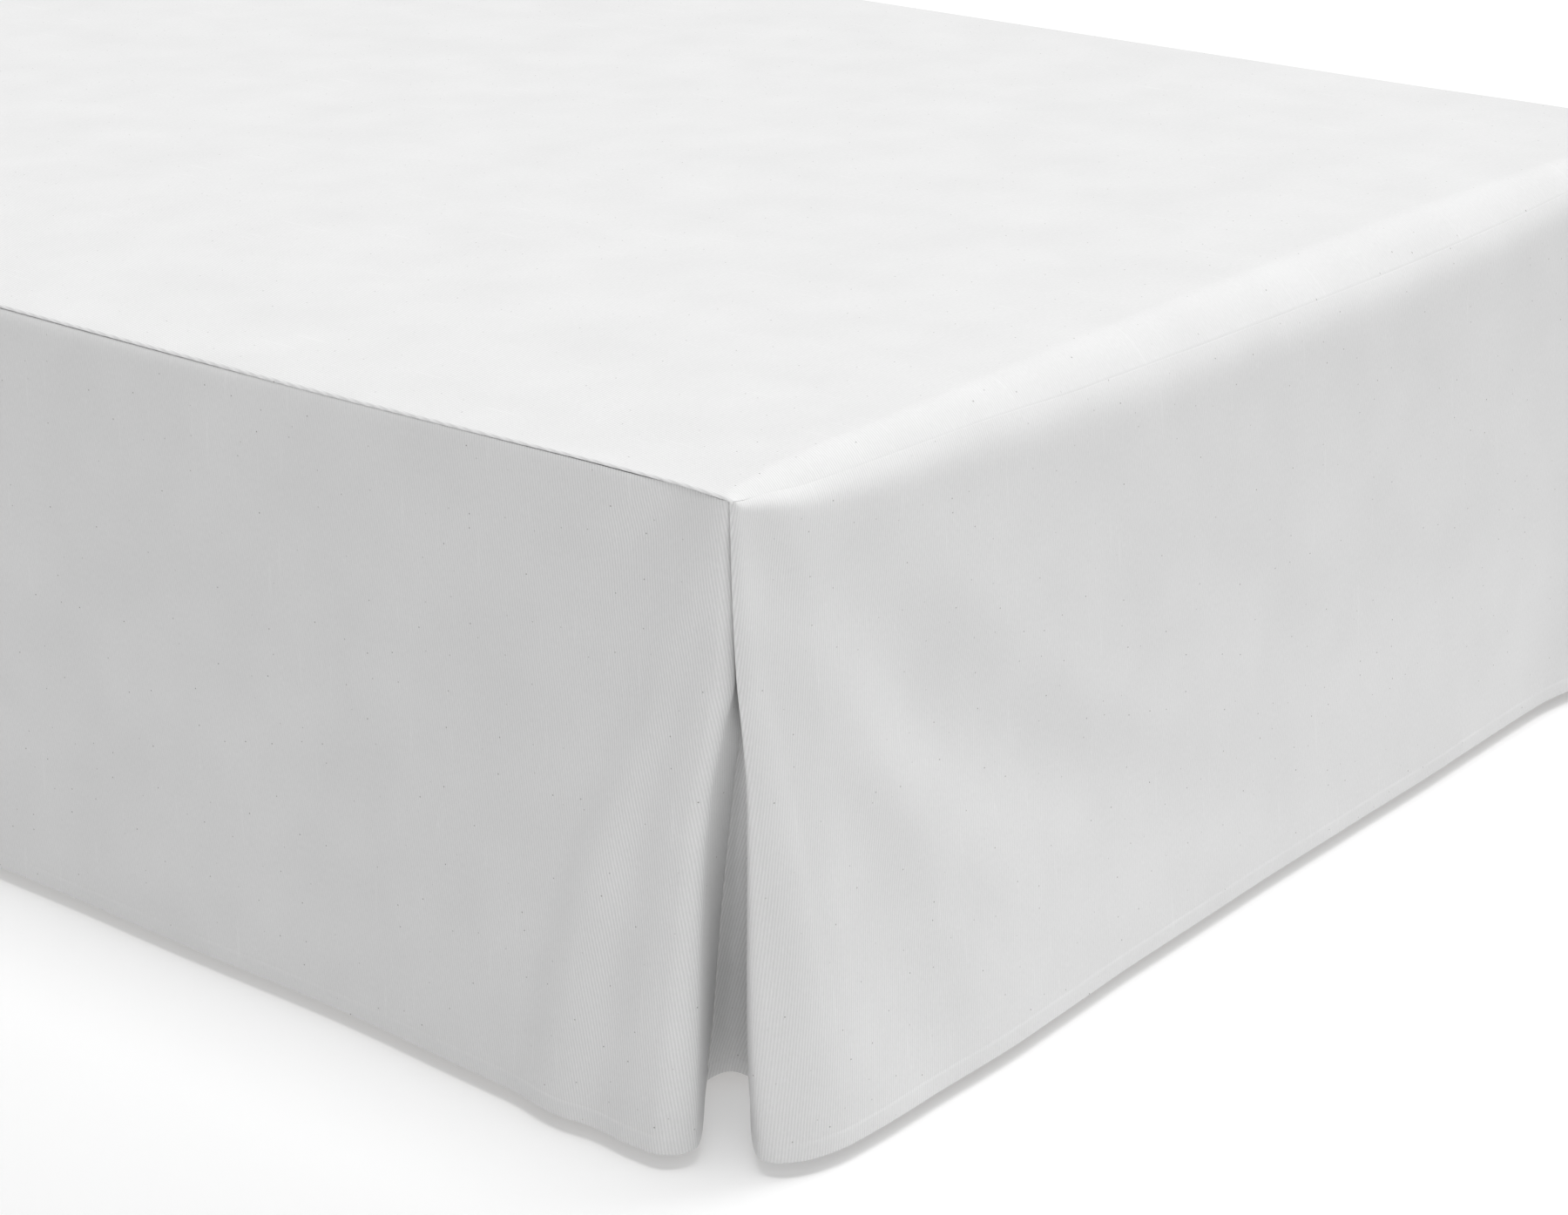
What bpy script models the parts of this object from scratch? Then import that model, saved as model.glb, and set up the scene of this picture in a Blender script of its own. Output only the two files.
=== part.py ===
"""Tailored bed skirt with a kick pleat at each foot corner, hanging from a plain bed base.

Metres, +Z up. The origin is on the floor, at the middle of the footprint. The foot faces -Y and the open
head end +Y. Every cloth piece is a grid laid on its own hanging shape and given the cloth's thickness.
"""

import math

import bmesh
import bpy
from mathutils import Vector

# Driving sizes.
DECK_WIDTH = 0.990  # a 39 in wide base
DECK_LENGTH = 1.905  # a 75 in long base
DROP = 0.350  # a 14 in drop as sewn, deck to hem
HEM_ABOVE_FLOOR = 0.009
CLOTH = 0.0012
SEAT_GAP = 0.0003  # where a piece rests on another
SEAM_GAP = 0.0006  # where a drop's top edge hangs under the deck
INSERT_END_GAP = 0.0019  # from the middle of a pleat's return to the end of its inner panel
BASE_CLEARANCE = 0.002  # between hanging cloth and the base's sides
FOOT_FLARE = 0.036  # how far the foot's hem stands out past the deck

BASE_HEIGHT = 0.120
BASE_CORNER_RADIUS = 0.050
BASE_FOOT_INSET = 0.0045  # from the deck's foot edge, under the roll
BASE_TOP_EDGE_RADIUS = 0.040
BASE_BOTTOM_EDGE_RADIUS = 0.010
LEG_TOP_RADIUS = 0.030
LEG_FOOT_RADIUS = 0.021
LEG_INSET_ACROSS = 0.125  # from the base's side to a leg's middle
LEG_INSET_ALONG = 0.150

# Worked out from them.
TOP = HEM_ABOVE_FLOOR + DROP
HALF_CLOTH = CLOTH / 2
DECK_MID_Z = TOP - HALF_CLOTH
FOOT_Y = FOOT_FLARE / 2 - DECK_LENGTH / 2
HEAD_Y = FOOT_Y + DECK_LENGTH
SIDE_X = DECK_WIDTH / 2
SEAM_STEP = HALF_CLOTH + SEAM_GAP  # from the deck's middle to a drop sewn under its edge
BASE_TOP = TOP - CLOTH - SEAT_GAP
BASE_INSET = CLOTH + BASE_CLEARANCE  # from the deck's other edges
BASE_BOTTOM = BASE_TOP - BASE_HEIGHT

# The pleats. "below" is the share of the drop below the deck. The rest is in mm, in the pleat's own axes:
# "across" from its centre line towards the foot's flap, "inward" from the deck's corner. foot_* and side_*
# are the flaps' folds, back_* are the two seams of the inner panel.
PLEAT_COLUMNS = (
    "below", "foot_across", "foot_inward", "side_across", "side_inward",
    "back_foot_across", "back_foot_inward", "back_side_across", "back_side_inward",
)
PLEAT_LEFT = (
    (0.00, -1.0, 1.2, -4.2, 5.0, 4.0, 17.0, -4.0, 17.0),
    (0.18, 1.2, 1.6, -0.6, 7.5, 5.4, 19.0, -2.4, 19.0),
    (0.34, 5.0, 2.6, 3.0, 9.5, 7.5, 22.0, -0.5, 21.0),
    (0.44, 7.6, 3.6, 0.5, 11.5, 8.5, 34.0, -2.5, 31.0),
    (0.56, 8.2, 5.0, -5.0, 14.0, 8.0, 47.0, -6.5, 43.0),
    (0.78, 8.6, 7.4, -15.5, 17.6, 5.5, 69.0, -14.5, 63.0),
    (1.00, 11.8, 9.3, -24.5, 20.3, 4.2, 87.0, -21.1, 80.5),
)
PLEAT_RIGHT = (
    (0.00, -1.0, 1.2, -4.2, 5.0, 4.0, 17.0, -4.0, 17.0),
    (0.20, 0.6, 1.6, -2.6, 6.5, 5.4, 19.0, -2.8, 19.0),
    (0.34, 3.0, 2.6, -1.6, 8.5, 6.5, 22.0, -1.0, 21.0),
    (0.50, 6.5, 4.4, -5.0, 11.5, 8.0, 39.0, -5.0, 36.0),
    (0.75, 9.5, 7.0, -12.0, 15.0, 8.5, 62.0, -11.0, 58.0),
    (1.00, 14.0, 10.0, -18.0, 17.0, 9.0, 84.0, -14.0, 80.0),
)
PLEAT_AXIS_LEFT = math.radians(39.2)  # from the foot's line to the pleat's centre line
PLEAT_AXIS_RIGHT = math.radians(43.0)

# How far each drop stands out past the deck, in mm, at the middle of its height and at its hem.
# "along" is in metres from the left corner on the foot, and from the foot on the sides.
RUN_COLUMNS = ("along", "middle_out", "hem_out")
FOOT_RUN = (
    (0.00, 9.0, 30.0), (0.06, 14.5, 34.0), (0.14, 14.0, 36.0), (0.23, 12.2, 32.0), (0.32, 10.8, 27.6),
    (0.42, 10.0, 24.4), (0.56, 9.4, 21.4), (0.70, 8.4, 18.6), (0.80, 8.0, 16.8), (0.88, 11.0, 22.0),
    (0.93, 12.0, 25.0), (0.99, 8.0, 20.0),
)
LEFT_RUN = (
    (0.00, 7.0, 19.0), (0.07, 8.0, 20.0), (0.13, 6.6, 15.4), (0.20, 5.0, 11.0), (0.30, 3.0, 6.5),
    (0.40, 2.4, 5.2), (0.50, 1.2, 2.4), (0.62, 0.8, 1.8), (0.78, 2.4, 5.0), (0.95, 1.4, 3.2),
    (1.15, 3.2, 7.0), (1.35, 1.6, 3.6), (1.55, 2.8, 6.5), (1.75, 1.5, 4.0), (1.905, 3.0, 9.0),
)
RIGHT_RUN = (
    (0.00, 6.0, 17.0), (0.08, 7.5, 19.0), (0.18, 5.0, 12.0), (0.32, 2.4, 5.5), (0.50, 2.8, 7.0),
    (0.70, 1.0, 2.6), (0.88, 2.6, 6.0), (1.10, 1.2, 3.0), (1.30, 3.0, 7.5), (1.52, 1.4, 3.4),
    (1.72, 2.4, 5.0), (1.905, 2.8, 8.0),
)

# Soft ridges, and troughs with a rise below zero, that fan out from the corners. A fold's line passes
# through three places along the drop: at its top, half-way down and at its hem. "width" is to where it has
# faded. It starts and ends at shares of the drop. Places are in metres, widths and rises in mm.
FOLD_COLUMNS = ("top", "middle", "hem", "width", "rise", "starts", "ends")
FOOT_FOLDS = (
    (0.022, 0.040, 0.060, 17.0, -2.4, 0.00, 0.42),
    (0.030, 0.110, 0.300, 42.0, 3.4, 0.10, 1.10),
    (0.030, 0.066, 0.132, 30.0, -2.4, 0.16, 1.20),
    (0.110, 0.330, 0.700, 85.0, 2.4, 0.00, 1.00),
    (0.820, 0.740, 0.640, 60.0, 2.2, 0.20, 1.30),
    (0.940, 0.885, 0.850, 34.0, 2.6, 0.10, 1.30),
)
LEFT_FOLDS = (
    (0.004, 0.078, 0.110, 19.0, 2.6, 0.16, 1.30),
    (0.002, 0.036, 0.054, 14.0, 2.6, 0.24, 1.40),
    (0.016, 0.055, 0.076, 14.0, -1.4, 0.24, 1.30),
    (0.020, 0.030, 0.040, 24.0, -1.8, 0.00, 0.24),
    (0.330, 0.300, 0.280, 70.0, -1.6, 0.10, 1.30),
    (0.900, 0.940, 1.000, 90.0, 2.4, 0.20, 1.30),
    (1.500, 1.460, 1.400, 80.0, -1.8, 0.10, 1.30),
)
RIGHT_FOLDS = (
    (0.006, 0.066, 0.100, 22.0, 2.6, 0.16, 1.30),
    (0.004, 0.034, 0.050, 14.0, 2.0, 0.30, 1.40),
    (0.560, 0.600, 0.640, 80.0, 2.2, 0.20, 1.30),
    (1.250, 1.200, 1.160, 90.0, -1.8, 0.10, 1.30),
)

# The foot's top edge, where the deck rolls over the base. In mm: how far in from the edge that roll starts,
# how far in and how far down its seam with the foot drop lies, and how tall the soft shoulder under it is.
EDGE_COLUMNS = ("along", "roll_starts", "seam_in", "seam_down", "shoulder")
FOOT_EDGE = (
    (0.000, 3.5, 0.0, 1.2, 3.0), (0.006, 6.0, 1.4, 2.6, 5.0), (0.012, 8.5, 2.4, 3.9, 7.0),
    (0.030, 12.0, 3.9, 5.8, 10.0), (0.060, 18.0, 4.8, 9.4, 15.0), (0.100, 20.0, 5.3, 10.9, 20.0),
    (0.200, 23.5, 5.5, 13.0, 25.0), (0.300, 28.0, 5.5, 17.0, 29.0), (0.450, 31.5, 5.5, 19.4, 29.0),
    (0.600, 33.0, 5.5, 20.3, 29.0), (0.740, 30.0, 5.5, 18.0, 27.0), (0.860, 23.0, 5.4, 12.6, 22.0),
    (0.930, 18.0, 4.8, 9.0, 15.0), (0.960, 12.5, 3.9, 6.0, 10.0), (0.978, 8.5, 2.4, 4.0, 7.0),
    (0.984, 6.0, 1.4, 2.6, 5.0), (0.990, 3.5, 0.0, 1.2, 3.0),
)

# How far a side edge of the deck stands above the flat deck, in mm, by its distance from the foot.
LIFT_COLUMNS = ("along", "lift")
LEFT_LIFT = (
    (0.000, 0.0), (0.006, 0.0), (0.030, 1.3), (0.080, 1.4), (0.140, 0.7), (0.200, 0.0), (0.300, -0.8),
    (0.420, -0.4), (0.600, 0.4), (0.900, 0.0), (1.905, 0.0),
)
RIGHT_LIFT = ((0.000, 0.0), (0.006, 0.0), (0.035, 1.0), (0.110, 0.9), (0.220, 0.0), (1.905, 0.0))
LIFT_REACH = 0.017  # how far in from the edge it fades

# How finely the grids are cut: first the columns of each stretch of a drop, as (columns, length in metres).
FOOT_STRETCHES = ((5, 0.060), (7, 0.210), (6, None), (4, 0.120), (5, 0.060))
SIDE_STRETCHES = ((6, 0.080), (5, 0.200), (13, None))
FOOT_COLUMNS = sum(columns for columns, _ in FOOT_STRETCHES)
SIDE_COLUMNS = sum(columns for columns, _ in SIDE_STRETCHES)
ROLL_ROWS = 4
SHOULDER_ROWS = 4
DROP_ROWS = 9
RETURN_COLUMNS = 6
CURVE_COLUMNS = 7
FLAP_COLUMNS = RETURN_COLUMNS + CURVE_COLUMNS
INSERT_COLUMNS = 4
DECK_COLUMNS = FOOT_COLUMNS + 3
DECK_ROWS_BY_FOOT = (0.12, 0.27, 0.46, 0.70, 1.0)  # shares of the way from the roll to DECK_FOOT_REACH
DECK_FOOT_REACH = 0.120
DECK_ROWS_BEYOND = 7
ROLLED_FROM = 0.004  # once the seam lies this far in, the deck and the foot drop meet edge to edge
FOOT_SEAM_GAP = 0.0010  # along the roll, where the two edges meet at a slant
SHOULDER_CURVE = 1.6  # over 1 turns the cloth soonest right under the seam
FLAT_LEAD = 0.003  # how much of the flat deck lies before its first flat row
RETURN_START_PULL = 0.34  # how strongly a return keeps its fold's direction, a share of its depth
ROW_SPREAD = 1.1  # over 1 puts the rows closer together at the top
DECK_ROW_SPREAD = 1.5
FOOT_FLAP_REACH = (0.004, 0.090)  # how far from its fold a flap starts to curve in, under the deck and at the hem
SIDE_FLAP_REACH = (0.004, 0.044)
FOLD_WIDTHS = (0.45, 1.35)  # how wide a fold is under the deck and at the hem, as shares of its own width
INSERT_BOW = 0.006  # how far the inner panel's hem bows inwards
SHARP_FROM = math.radians(40)
LEG_SIDES = 20
BASE_CORNER_SEGMENTS = 6
BASE_TOP_SEGMENTS = 5
BASE_BOTTOM_SEGMENTS = 2

WHITE_DRILL = (0.83, 0.83, 0.82, 1.0)
BASE_COVER = (0.58, 0.57, 0.55, 1.0)
BEECH = (0.62, 0.42, 0.25, 1.0)


def clear_scene():
    for obj in list(bpy.data.objects):
        bpy.data.objects.remove(obj, do_unlink=True)


def smooth_between(rows, columns, name, at):
    """The named column at a place in the first one, on a soft curve through the table's rows."""
    pick = columns.index(name)
    places = [row[0] for row in rows]
    values = [row[pick] for row in rows]
    at = min(max(at, places[0]), places[-1])
    last = len(rows) - 2
    left = max(index for index in range(last + 1) if places[index] <= at)
    span = places[left + 1] - places[left]
    step = (at - places[left]) / span

    def slope(index):
        if index in (0, last + 1):
            return 0.0
        before = (values[index] - values[index - 1]) / (places[index] - places[index - 1])
        after = (values[index + 1] - values[index]) / (places[index + 1] - places[index])
        if before * after <= 0.0:
            return 0.0
        return 2.0 * before * after / (before + after)

    rise = values[left + 1] - values[left]
    first, second = slope(left) * span, slope(left + 1) * span
    bend = step * step * (3.0 - 2.0 * step)
    ease_in = step * (1.0 - step) ** 2
    ease_out = step * step * (1.0 - step)
    return values[left] + rise * bend + first * ease_in - second * ease_out


def between(ends, share):
    return ends[0] + (ends[1] - ends[0]) * share


def eased(share):
    share = min(max(share, 0.0), 1.0)
    return share * share * (3 - 2 * share)


def hangs_out(run, along, below):
    """How far a drop's middle surface hangs out past the deck's edge line, before its folds, in metres."""
    middle = smooth_between(run, RUN_COLUMNS, "middle_out", along) / 1000
    hem = smooth_between(run, RUN_COLUMNS, "hem_out", along) / 1000
    return (4 * middle - hem) * below + (2 * hem - 4 * middle) * below**2 - HALF_CLOTH


def fold_rise(folds, along, below):
    """How far the ridges and troughs lift the cloth there, in metres."""
    rise_here = 0.0
    for top, middle, hem, width, rise, starts, ends in folds:
        line = top + (4 * middle - 3 * top - hem) * below + (2 * top + 2 * hem - 4 * middle) * below**2
        away = min(1.0, abs(along - line) * 1000 / (width * between(FOLD_WIDTHS, below)))
        middle_share = (starts + ends) / 2
        fade = eased((below - starts) / (middle_share - starts)) * eased((ends - below) / (ends - middle_share))
        rise_here += rise / 1000 * (0.5 + 0.5 * math.cos(math.pi * away)) * fade
    return rise_here


def stands_out(run, folds, along, below):
    return hangs_out(run, along, below) + fold_rise(folds, along, below)


def stretched(stretches, length, column):
    """The share of the length at which a column lies. The stretch with no length of its own takes the rest."""
    rest = length - sum(size for _, size in stretches if size)
    place = 0.0
    for columns, size in stretches:
        size = size or rest
        if column <= columns:
            return (place + size * column / columns) / length
        place += size
        column -= columns
    return 1.0


class Corner:
    """One foot corner of the deck, with the axes along the foot and along the side."""

    def __init__(self, x_sign, pleat, axis, side_run, side_folds, side_lift):
        self.x_sign = x_sign
        self.pleat = pleat
        self.axis = axis
        self.side_run = side_run
        self.side_folds = side_folds
        self.side_lift = side_lift

    def to_world(self, along_foot, along_side, z):
        return Vector((self.x_sign * (SIDE_X - along_foot), FOOT_Y + along_side, z))

    def lift(self, along_foot, along_side):
        """How far the deck stands above its flat there."""
        near = max(0.0, 1 - along_foot / LIFT_REACH)
        return smooth_between(self.side_lift, LIFT_COLUMNS, "lift", along_side) / 1000 * near * near

    def deck_drop(self, along_foot, along_side):
        """How far the deck lies below its flat there."""
        foot_along = along_foot if self.x_sign < 0 else DECK_WIDTH - along_foot
        return roll_drop(foot_along, along_side) - self.lift(along_foot, along_side)

    def point(self, which, below):
        """A named point of the pleat: (along the foot, along the side) in metres."""
        across = smooth_between(self.pleat, PLEAT_COLUMNS, which + "_across", below) / 1000
        inward = smooth_between(self.pleat, PLEAT_COLUMNS, which + "_inward", below) / 1000
        along_foot = across * math.sin(self.axis) + inward * math.cos(self.axis)
        along_side = inward * math.sin(self.axis) - across * math.cos(self.axis)
        return along_foot, along_side


def return_point(fold, back, outward_first, share):
    """A point on the cloth from a flap's fold (share 0) to the inner panel's seam (share 1), in plan."""
    depth = math.hypot(back[0] - fold[0], back[1] - fold[1])
    pull = RETURN_START_PULL * depth
    leave = (0.0, pull) if outward_first == "foot" else (pull, 0.0)
    arrive = (back[0] - fold[0], back[1] - fold[1])
    h00 = 2 * share**3 - 3 * share**2 + 1
    h10 = share**3 - 2 * share**2 + share
    h01 = 3 * share**2 - 2 * share**3
    h11 = share**3 - share**2
    return tuple(h00 * fold[k] + h10 * leave[k] + h01 * back[k] + h11 * arrive[k] for k in (0, 1))


def shorten(start, end, gap):
    """The end point, drawn back towards the start by the gap."""
    length = math.hypot(end[0] - start[0], end[1] - start[1])
    keep = (length - gap) / length
    return tuple(start[k] + (end[k] - start[k]) * keep for k in (0, 1))


def cloth_sheet(name, columns, rows, place, material, collection):
    """A grid of columns x rows points, each put where place(column, row) says, given the cloth's thickness."""
    mesh = bpy.data.meshes.new(name)
    grid = bmesh.new()
    bmesh.ops.create_grid(grid, x_segments=columns - 1, y_segments=rows - 1, size=0.5)
    for vert in grid.verts:
        column = round((vert.co.x + 0.5) * (columns - 1))
        row = round((vert.co.y + 0.5) * (rows - 1))
        vert.co = place(column, row)
    grid.to_mesh(mesh)
    grid.free()
    mesh.shade_smooth()
    mesh.materials.append(material)
    sheet = bpy.data.objects.new(name, mesh)
    collection.objects.link(sheet)
    thickness = sheet.modifiers.new("Cloth thickness", "SOLIDIFY")
    thickness.thickness = CLOTH
    thickness.offset = 0.0
    thickness.use_even_offset = True
    return sheet


def rows_below():
    """Shares of the drop at each row under the roll, closer together near the top."""
    return [(row / DROP_ROWS) ** ROW_SPREAD for row in range(DROP_ROWS + 1)]


def foot_edge(name, along):
    return smooth_between(FOOT_EDGE, EDGE_COLUMNS, name, along) / 1000


def roll_drop(along, along_side):
    """How far the roll lies below the flat deck there, in metres."""
    seam_in = foot_edge("seam_in", along)
    flat_from = foot_edge("roll_starts", along) + FLAT_LEAD
    inset = HALF_CLOTH * min(1.0, seam_in / ROLLED_FROM)
    share = (flat_from + inset - along_side) / (flat_from - seam_in)
    return foot_edge("seam_down", along) * min(max(share, 0.0), 1.0) ** 2


def foot_profile(along, row):
    """(share below the deck, inset, share of its hang, z) of a row of the foot drop, from its seam on the roll."""
    seam_in, seam_down = foot_edge("seam_in", along), foot_edge("seam_down", along)
    rolled = min(1.0, seam_in / ROLLED_FROM)
    start = seam_down + (1 - rolled**2) * SEAM_STEP
    shoulder = foot_edge("shoulder", along)
    if row < SHOULDER_ROWS:
        share = row / SHOULDER_ROWS
        unturned = (1 - share) ** SHOULDER_CURVE
        inset = seam_in * unturned
        down = start + shoulder * share
        if row == 0:
            lean = math.atan2(2 * seam_down, foot_edge("roll_starts", along) - seam_in)
            steps_past = (1 - (1 - rolled) ** 2) * FOOT_SEAM_GAP
            inset -= steps_past * math.cos(lean)
            down += steps_past * math.sin(lean)
        return down / DROP, inset, 1 - rolled * unturned, DECK_MID_Z - down
    share = rows_below()[row - SHOULDER_ROWS]
    down = start + shoulder + (DROP - HALF_CLOTH - start - shoulder) * share
    return down / DROP, 0.0, 1.0, DECK_MID_Z - down


def foot_run_place(left, right, column, row):
    """(along, share below the deck, inset, share of its hang, z) of a column of the foot's straight run."""
    share = stretched(FOOT_STRETCHES, DECK_WIDTH, column)
    along = DECK_WIDTH * share
    for _ in range(3):
        below, inset, hang, z = foot_profile(along, row)
        first = flap_point(left, "foot", FLAP_COLUMNS, below)[0]
        last = DECK_WIDTH - flap_point(right, "foot", FLAP_COLUMNS, below)[0]
        along = first + (last - first) * share
    return along, below, inset, hang, z


def drop_profile(row, rows):
    """(share below the deck, z) of a row of a side drop or of a pleat's returns."""
    share = (row / (rows - 1)) ** ROW_SPREAD
    down = SEAM_STEP + (DROP - HALF_CLOTH - SEAM_STEP) * share
    return down / DROP, DECK_MID_Z - down


def flap_point(corner, kind, column, below):
    """Plan point of a flap's column: the columns run from the inner panel's seam to the start of the straight run."""
    fold = corner.point(kind, below)
    back = corner.point("back_" + kind, below)
    if column <= RETURN_COLUMNS:
        return return_point(fold, back, kind, 1 - column / RETURN_COLUMNS)
    turn = math.pi / 2 * (1 - (column - RETURN_COLUMNS) / CURVE_COLUMNS)
    if kind == "foot":
        reach = between(FOOT_FLAP_REACH, below)
        along = fold[0] + reach
        foot_along = along if corner.x_sign < 0 else DECK_WIDTH - along
        run_out = hangs_out(FOOT_RUN, foot_along, below)
        fold_out = -fold[1]
        along_here = along - reach * math.sin(turn)
        foot_here = along_here if corner.x_sign < 0 else DECK_WIDTH - along_here
        rise = fold_rise(FOOT_FOLDS, foot_here, below) * math.cos(turn)
        return along_here, -(fold_out + (run_out - fold_out) * math.cos(turn) + rise)
    reach = between(SIDE_FLAP_REACH, below)
    along = fold[1] + reach
    run_out = hangs_out(corner.side_run, along, below)
    fold_out = -fold[0]
    along_here = along - reach * math.sin(turn)
    rise = fold_rise(corner.side_folds, along_here, below) * math.cos(turn)
    return -(fold_out + (run_out - fold_out) * math.cos(turn) + rise), along_here


def side_drop(name, corner, material, collection):
    rows = DROP_ROWS + 2

    def place(column, row):
        below, z = drop_profile(row, rows)
        if column <= FLAP_COLUMNS:
            along_foot, along_side = flap_point(corner, "side", column, below)
            z -= corner.deck_drop(max(HALF_CLOTH, along_foot), along_side) * (1 - below)
            return corner.to_world(along_foot, along_side, z)
        start = flap_point(corner, "side", FLAP_COLUMNS, below)[1]
        share = stretched(SIDE_STRETCHES, DECK_LENGTH, column - FLAP_COLUMNS)
        along = start + (DECK_LENGTH - start) * share
        z -= corner.deck_drop(HALF_CLOTH, along) * (1 - below)
        return corner.to_world(-stands_out(corner.side_run, corner.side_folds, along, below), along, z)

    return cloth_sheet(name, FLAP_COLUMNS + SIDE_COLUMNS + 1, rows, place, material, collection)


def foot_drop(name, left, right, material, collection):
    columns = 2 * FLAP_COLUMNS + FOOT_COLUMNS + 1

    def place(column, row):
        corner, from_end = (left, column) if column < columns / 2 else (right, columns - 1 - column)
        if from_end <= FLAP_COLUMNS:
            below, _, _, z = foot_profile(0.0, row)
            along_foot, along_side = flap_point(corner, "foot", from_end, below)
            if from_end <= RETURN_COLUMNS:
                under_roll = corner.deck_drop(along_foot, along_side - CLOTH) - foot_edge("seam_down", 0.0)
                z -= max(0.0, under_roll) * (1 - below)
            else:
                foot_along = along_foot if corner is left else DECK_WIDTH - along_foot
                below, inset, _, z = foot_profile(foot_along, row)
                along_foot, along_side = flap_point(corner, "foot", from_end, below)
                turned = math.sin(math.pi / 2 * (from_end - RETURN_COLUMNS) / CURVE_COLUMNS)
                along_side += inset * turned
            return corner.to_world(along_foot, along_side, z)
        along, below, inset, hang, z = foot_run_place(left, right, column - FLAP_COLUMNS, row)
        out = (stands_out(FOOT_RUN, FOOT_FOLDS, along, below) + HALF_CLOTH) * hang - HALF_CLOTH
        return left.to_world(along, inset - out, z)

    rows = SHOULDER_ROWS + DROP_ROWS + 1
    return cloth_sheet(name, columns, rows, place, material, collection)


def pleat_insert(name, corner, material, collection):
    """The narrow panel between the two returns, bowed a little inwards."""
    rows = DROP_ROWS + 2

    def place(column, row):
        below, z = drop_profile(row, rows)
        foot_back = corner.point("back_foot", below)
        side_back = corner.point("back_side", below)
        start = shorten(side_back, foot_back, INSERT_END_GAP)
        end = shorten(foot_back, side_back, INSERT_END_GAP)
        share = column / (INSERT_COLUMNS - 1)
        bow = INSERT_BOW * below * math.sin(math.pi * share)
        along_foot = start[0] + (end[0] - start[0]) * share + bow * math.cos(corner.axis)
        along_side = start[1] + (end[1] - start[1]) * share + bow * math.sin(corner.axis)
        z -= corner.deck_drop(along_foot, along_side) * (1 - below)
        return corner.to_world(along_foot, along_side, z)

    return cloth_sheet(name, INSERT_COLUMNS, rows, place, material, collection)


def deck_sheet(name, left, right, material, collection):
    """The flat platform. Along the foot its edge follows the roll as far as the seam."""
    beyond = [
        DECK_FOOT_REACH + (DECK_LENGTH - DECK_FOOT_REACH) * (row / DECK_ROWS_BEYOND) ** DECK_ROW_SPREAD
        for row in range(1, DECK_ROWS_BEYOND + 1)
    ]
    by_foot = len(DECK_ROWS_BY_FOOT)
    rows = ROLL_ROWS + 1 + by_foot + len(beyond)
    run = [foot_run_place(left, right, column, 0)[0] for column in range(FOOT_COLUMNS + 1)]
    places = [0.0, *run, DECK_WIDTH]

    def place(column, row):
        along = places[column]
        if row <= ROLL_ROWS:
            share = 1 - row / ROLL_ROWS
            starts, seam_in = foot_edge("roll_starts", along), foot_edge("seam_in", along)
            rolled = min(1.0, seam_in / ROLLED_FROM)
            along_side = starts + (seam_in - starts) * share + FLAT_LEAD * (1 - share) + HALF_CLOTH * rolled
            down = foot_edge("seam_down", along) * share * share
        elif row <= ROLL_ROWS + by_foot:
            roll_ends = foot_edge("roll_starts", along) + FLAT_LEAD
            along_side = between((roll_ends, DECK_FOOT_REACH), DECK_ROWS_BY_FOOT[row - ROLL_ROWS - 1])
            down = 0.0
        else:
            along_side = beyond[row - ROLL_ROWS - by_foot - 1]
            down = 0.0
        near, along_near = (left, along) if along < SIDE_X else (right, DECK_WIDTH - along)
        down -= near.lift(along_near, along_side)
        return left.to_world(along, along_side, DECK_MID_Z - down)

    return cloth_sheet(name, DECK_COLUMNS, rows, place, material, collection)


def soften(box, edges, radius, segments):
    bmesh.ops.bevel(
        box, geom=edges, offset=radius, offset_type="OFFSET", segments=segments,
        profile=0.5, affect="EDGES", material=-1,
    )


def bed_base(name, material, collection):
    """A plain box with rounded upright corners and soft rims, wide enough at the top for the roll."""
    box = bmesh.new()
    bmesh.ops.create_cube(box, size=1.0)
    length = DECK_LENGTH - BASE_INSET - BASE_FOOT_INSET
    bmesh.ops.scale(box, vec=(DECK_WIDTH - 2 * BASE_INSET, length, BASE_HEIGHT), verts=box.verts)
    half = BASE_HEIGHT / 2
    upright = [edge for edge in box.edges if abs(edge.verts[0].co.z - edge.verts[1].co.z) > half]
    soften(box, upright, BASE_CORNER_RADIUS, BASE_CORNER_SEGMENTS)
    top_rim = [edge for edge in box.edges if min(vert.co.z for vert in edge.verts) > half * 0.99]
    soften(box, top_rim, BASE_TOP_EDGE_RADIUS, BASE_TOP_SEGMENTS)
    bottom_rim = [edge for edge in box.edges if max(vert.co.z for vert in edge.verts) < -half * 0.99]
    soften(box, bottom_rim, BASE_BOTTOM_EDGE_RADIUS, BASE_BOTTOM_SEGMENTS)
    mesh = bpy.data.meshes.new(name)
    box.to_mesh(mesh)
    box.free()
    mesh.shade_smooth()
    mesh.set_sharp_from_angle(angle=SHARP_FROM)
    mesh.materials.append(material)
    base = bpy.data.objects.new(name, mesh)
    base.location = (0.0, FOOT_Y + BASE_FOOT_INSET + length / 2, (BASE_TOP + BASE_BOTTOM) / 2)
    collection.objects.link(base)
    return base


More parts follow.
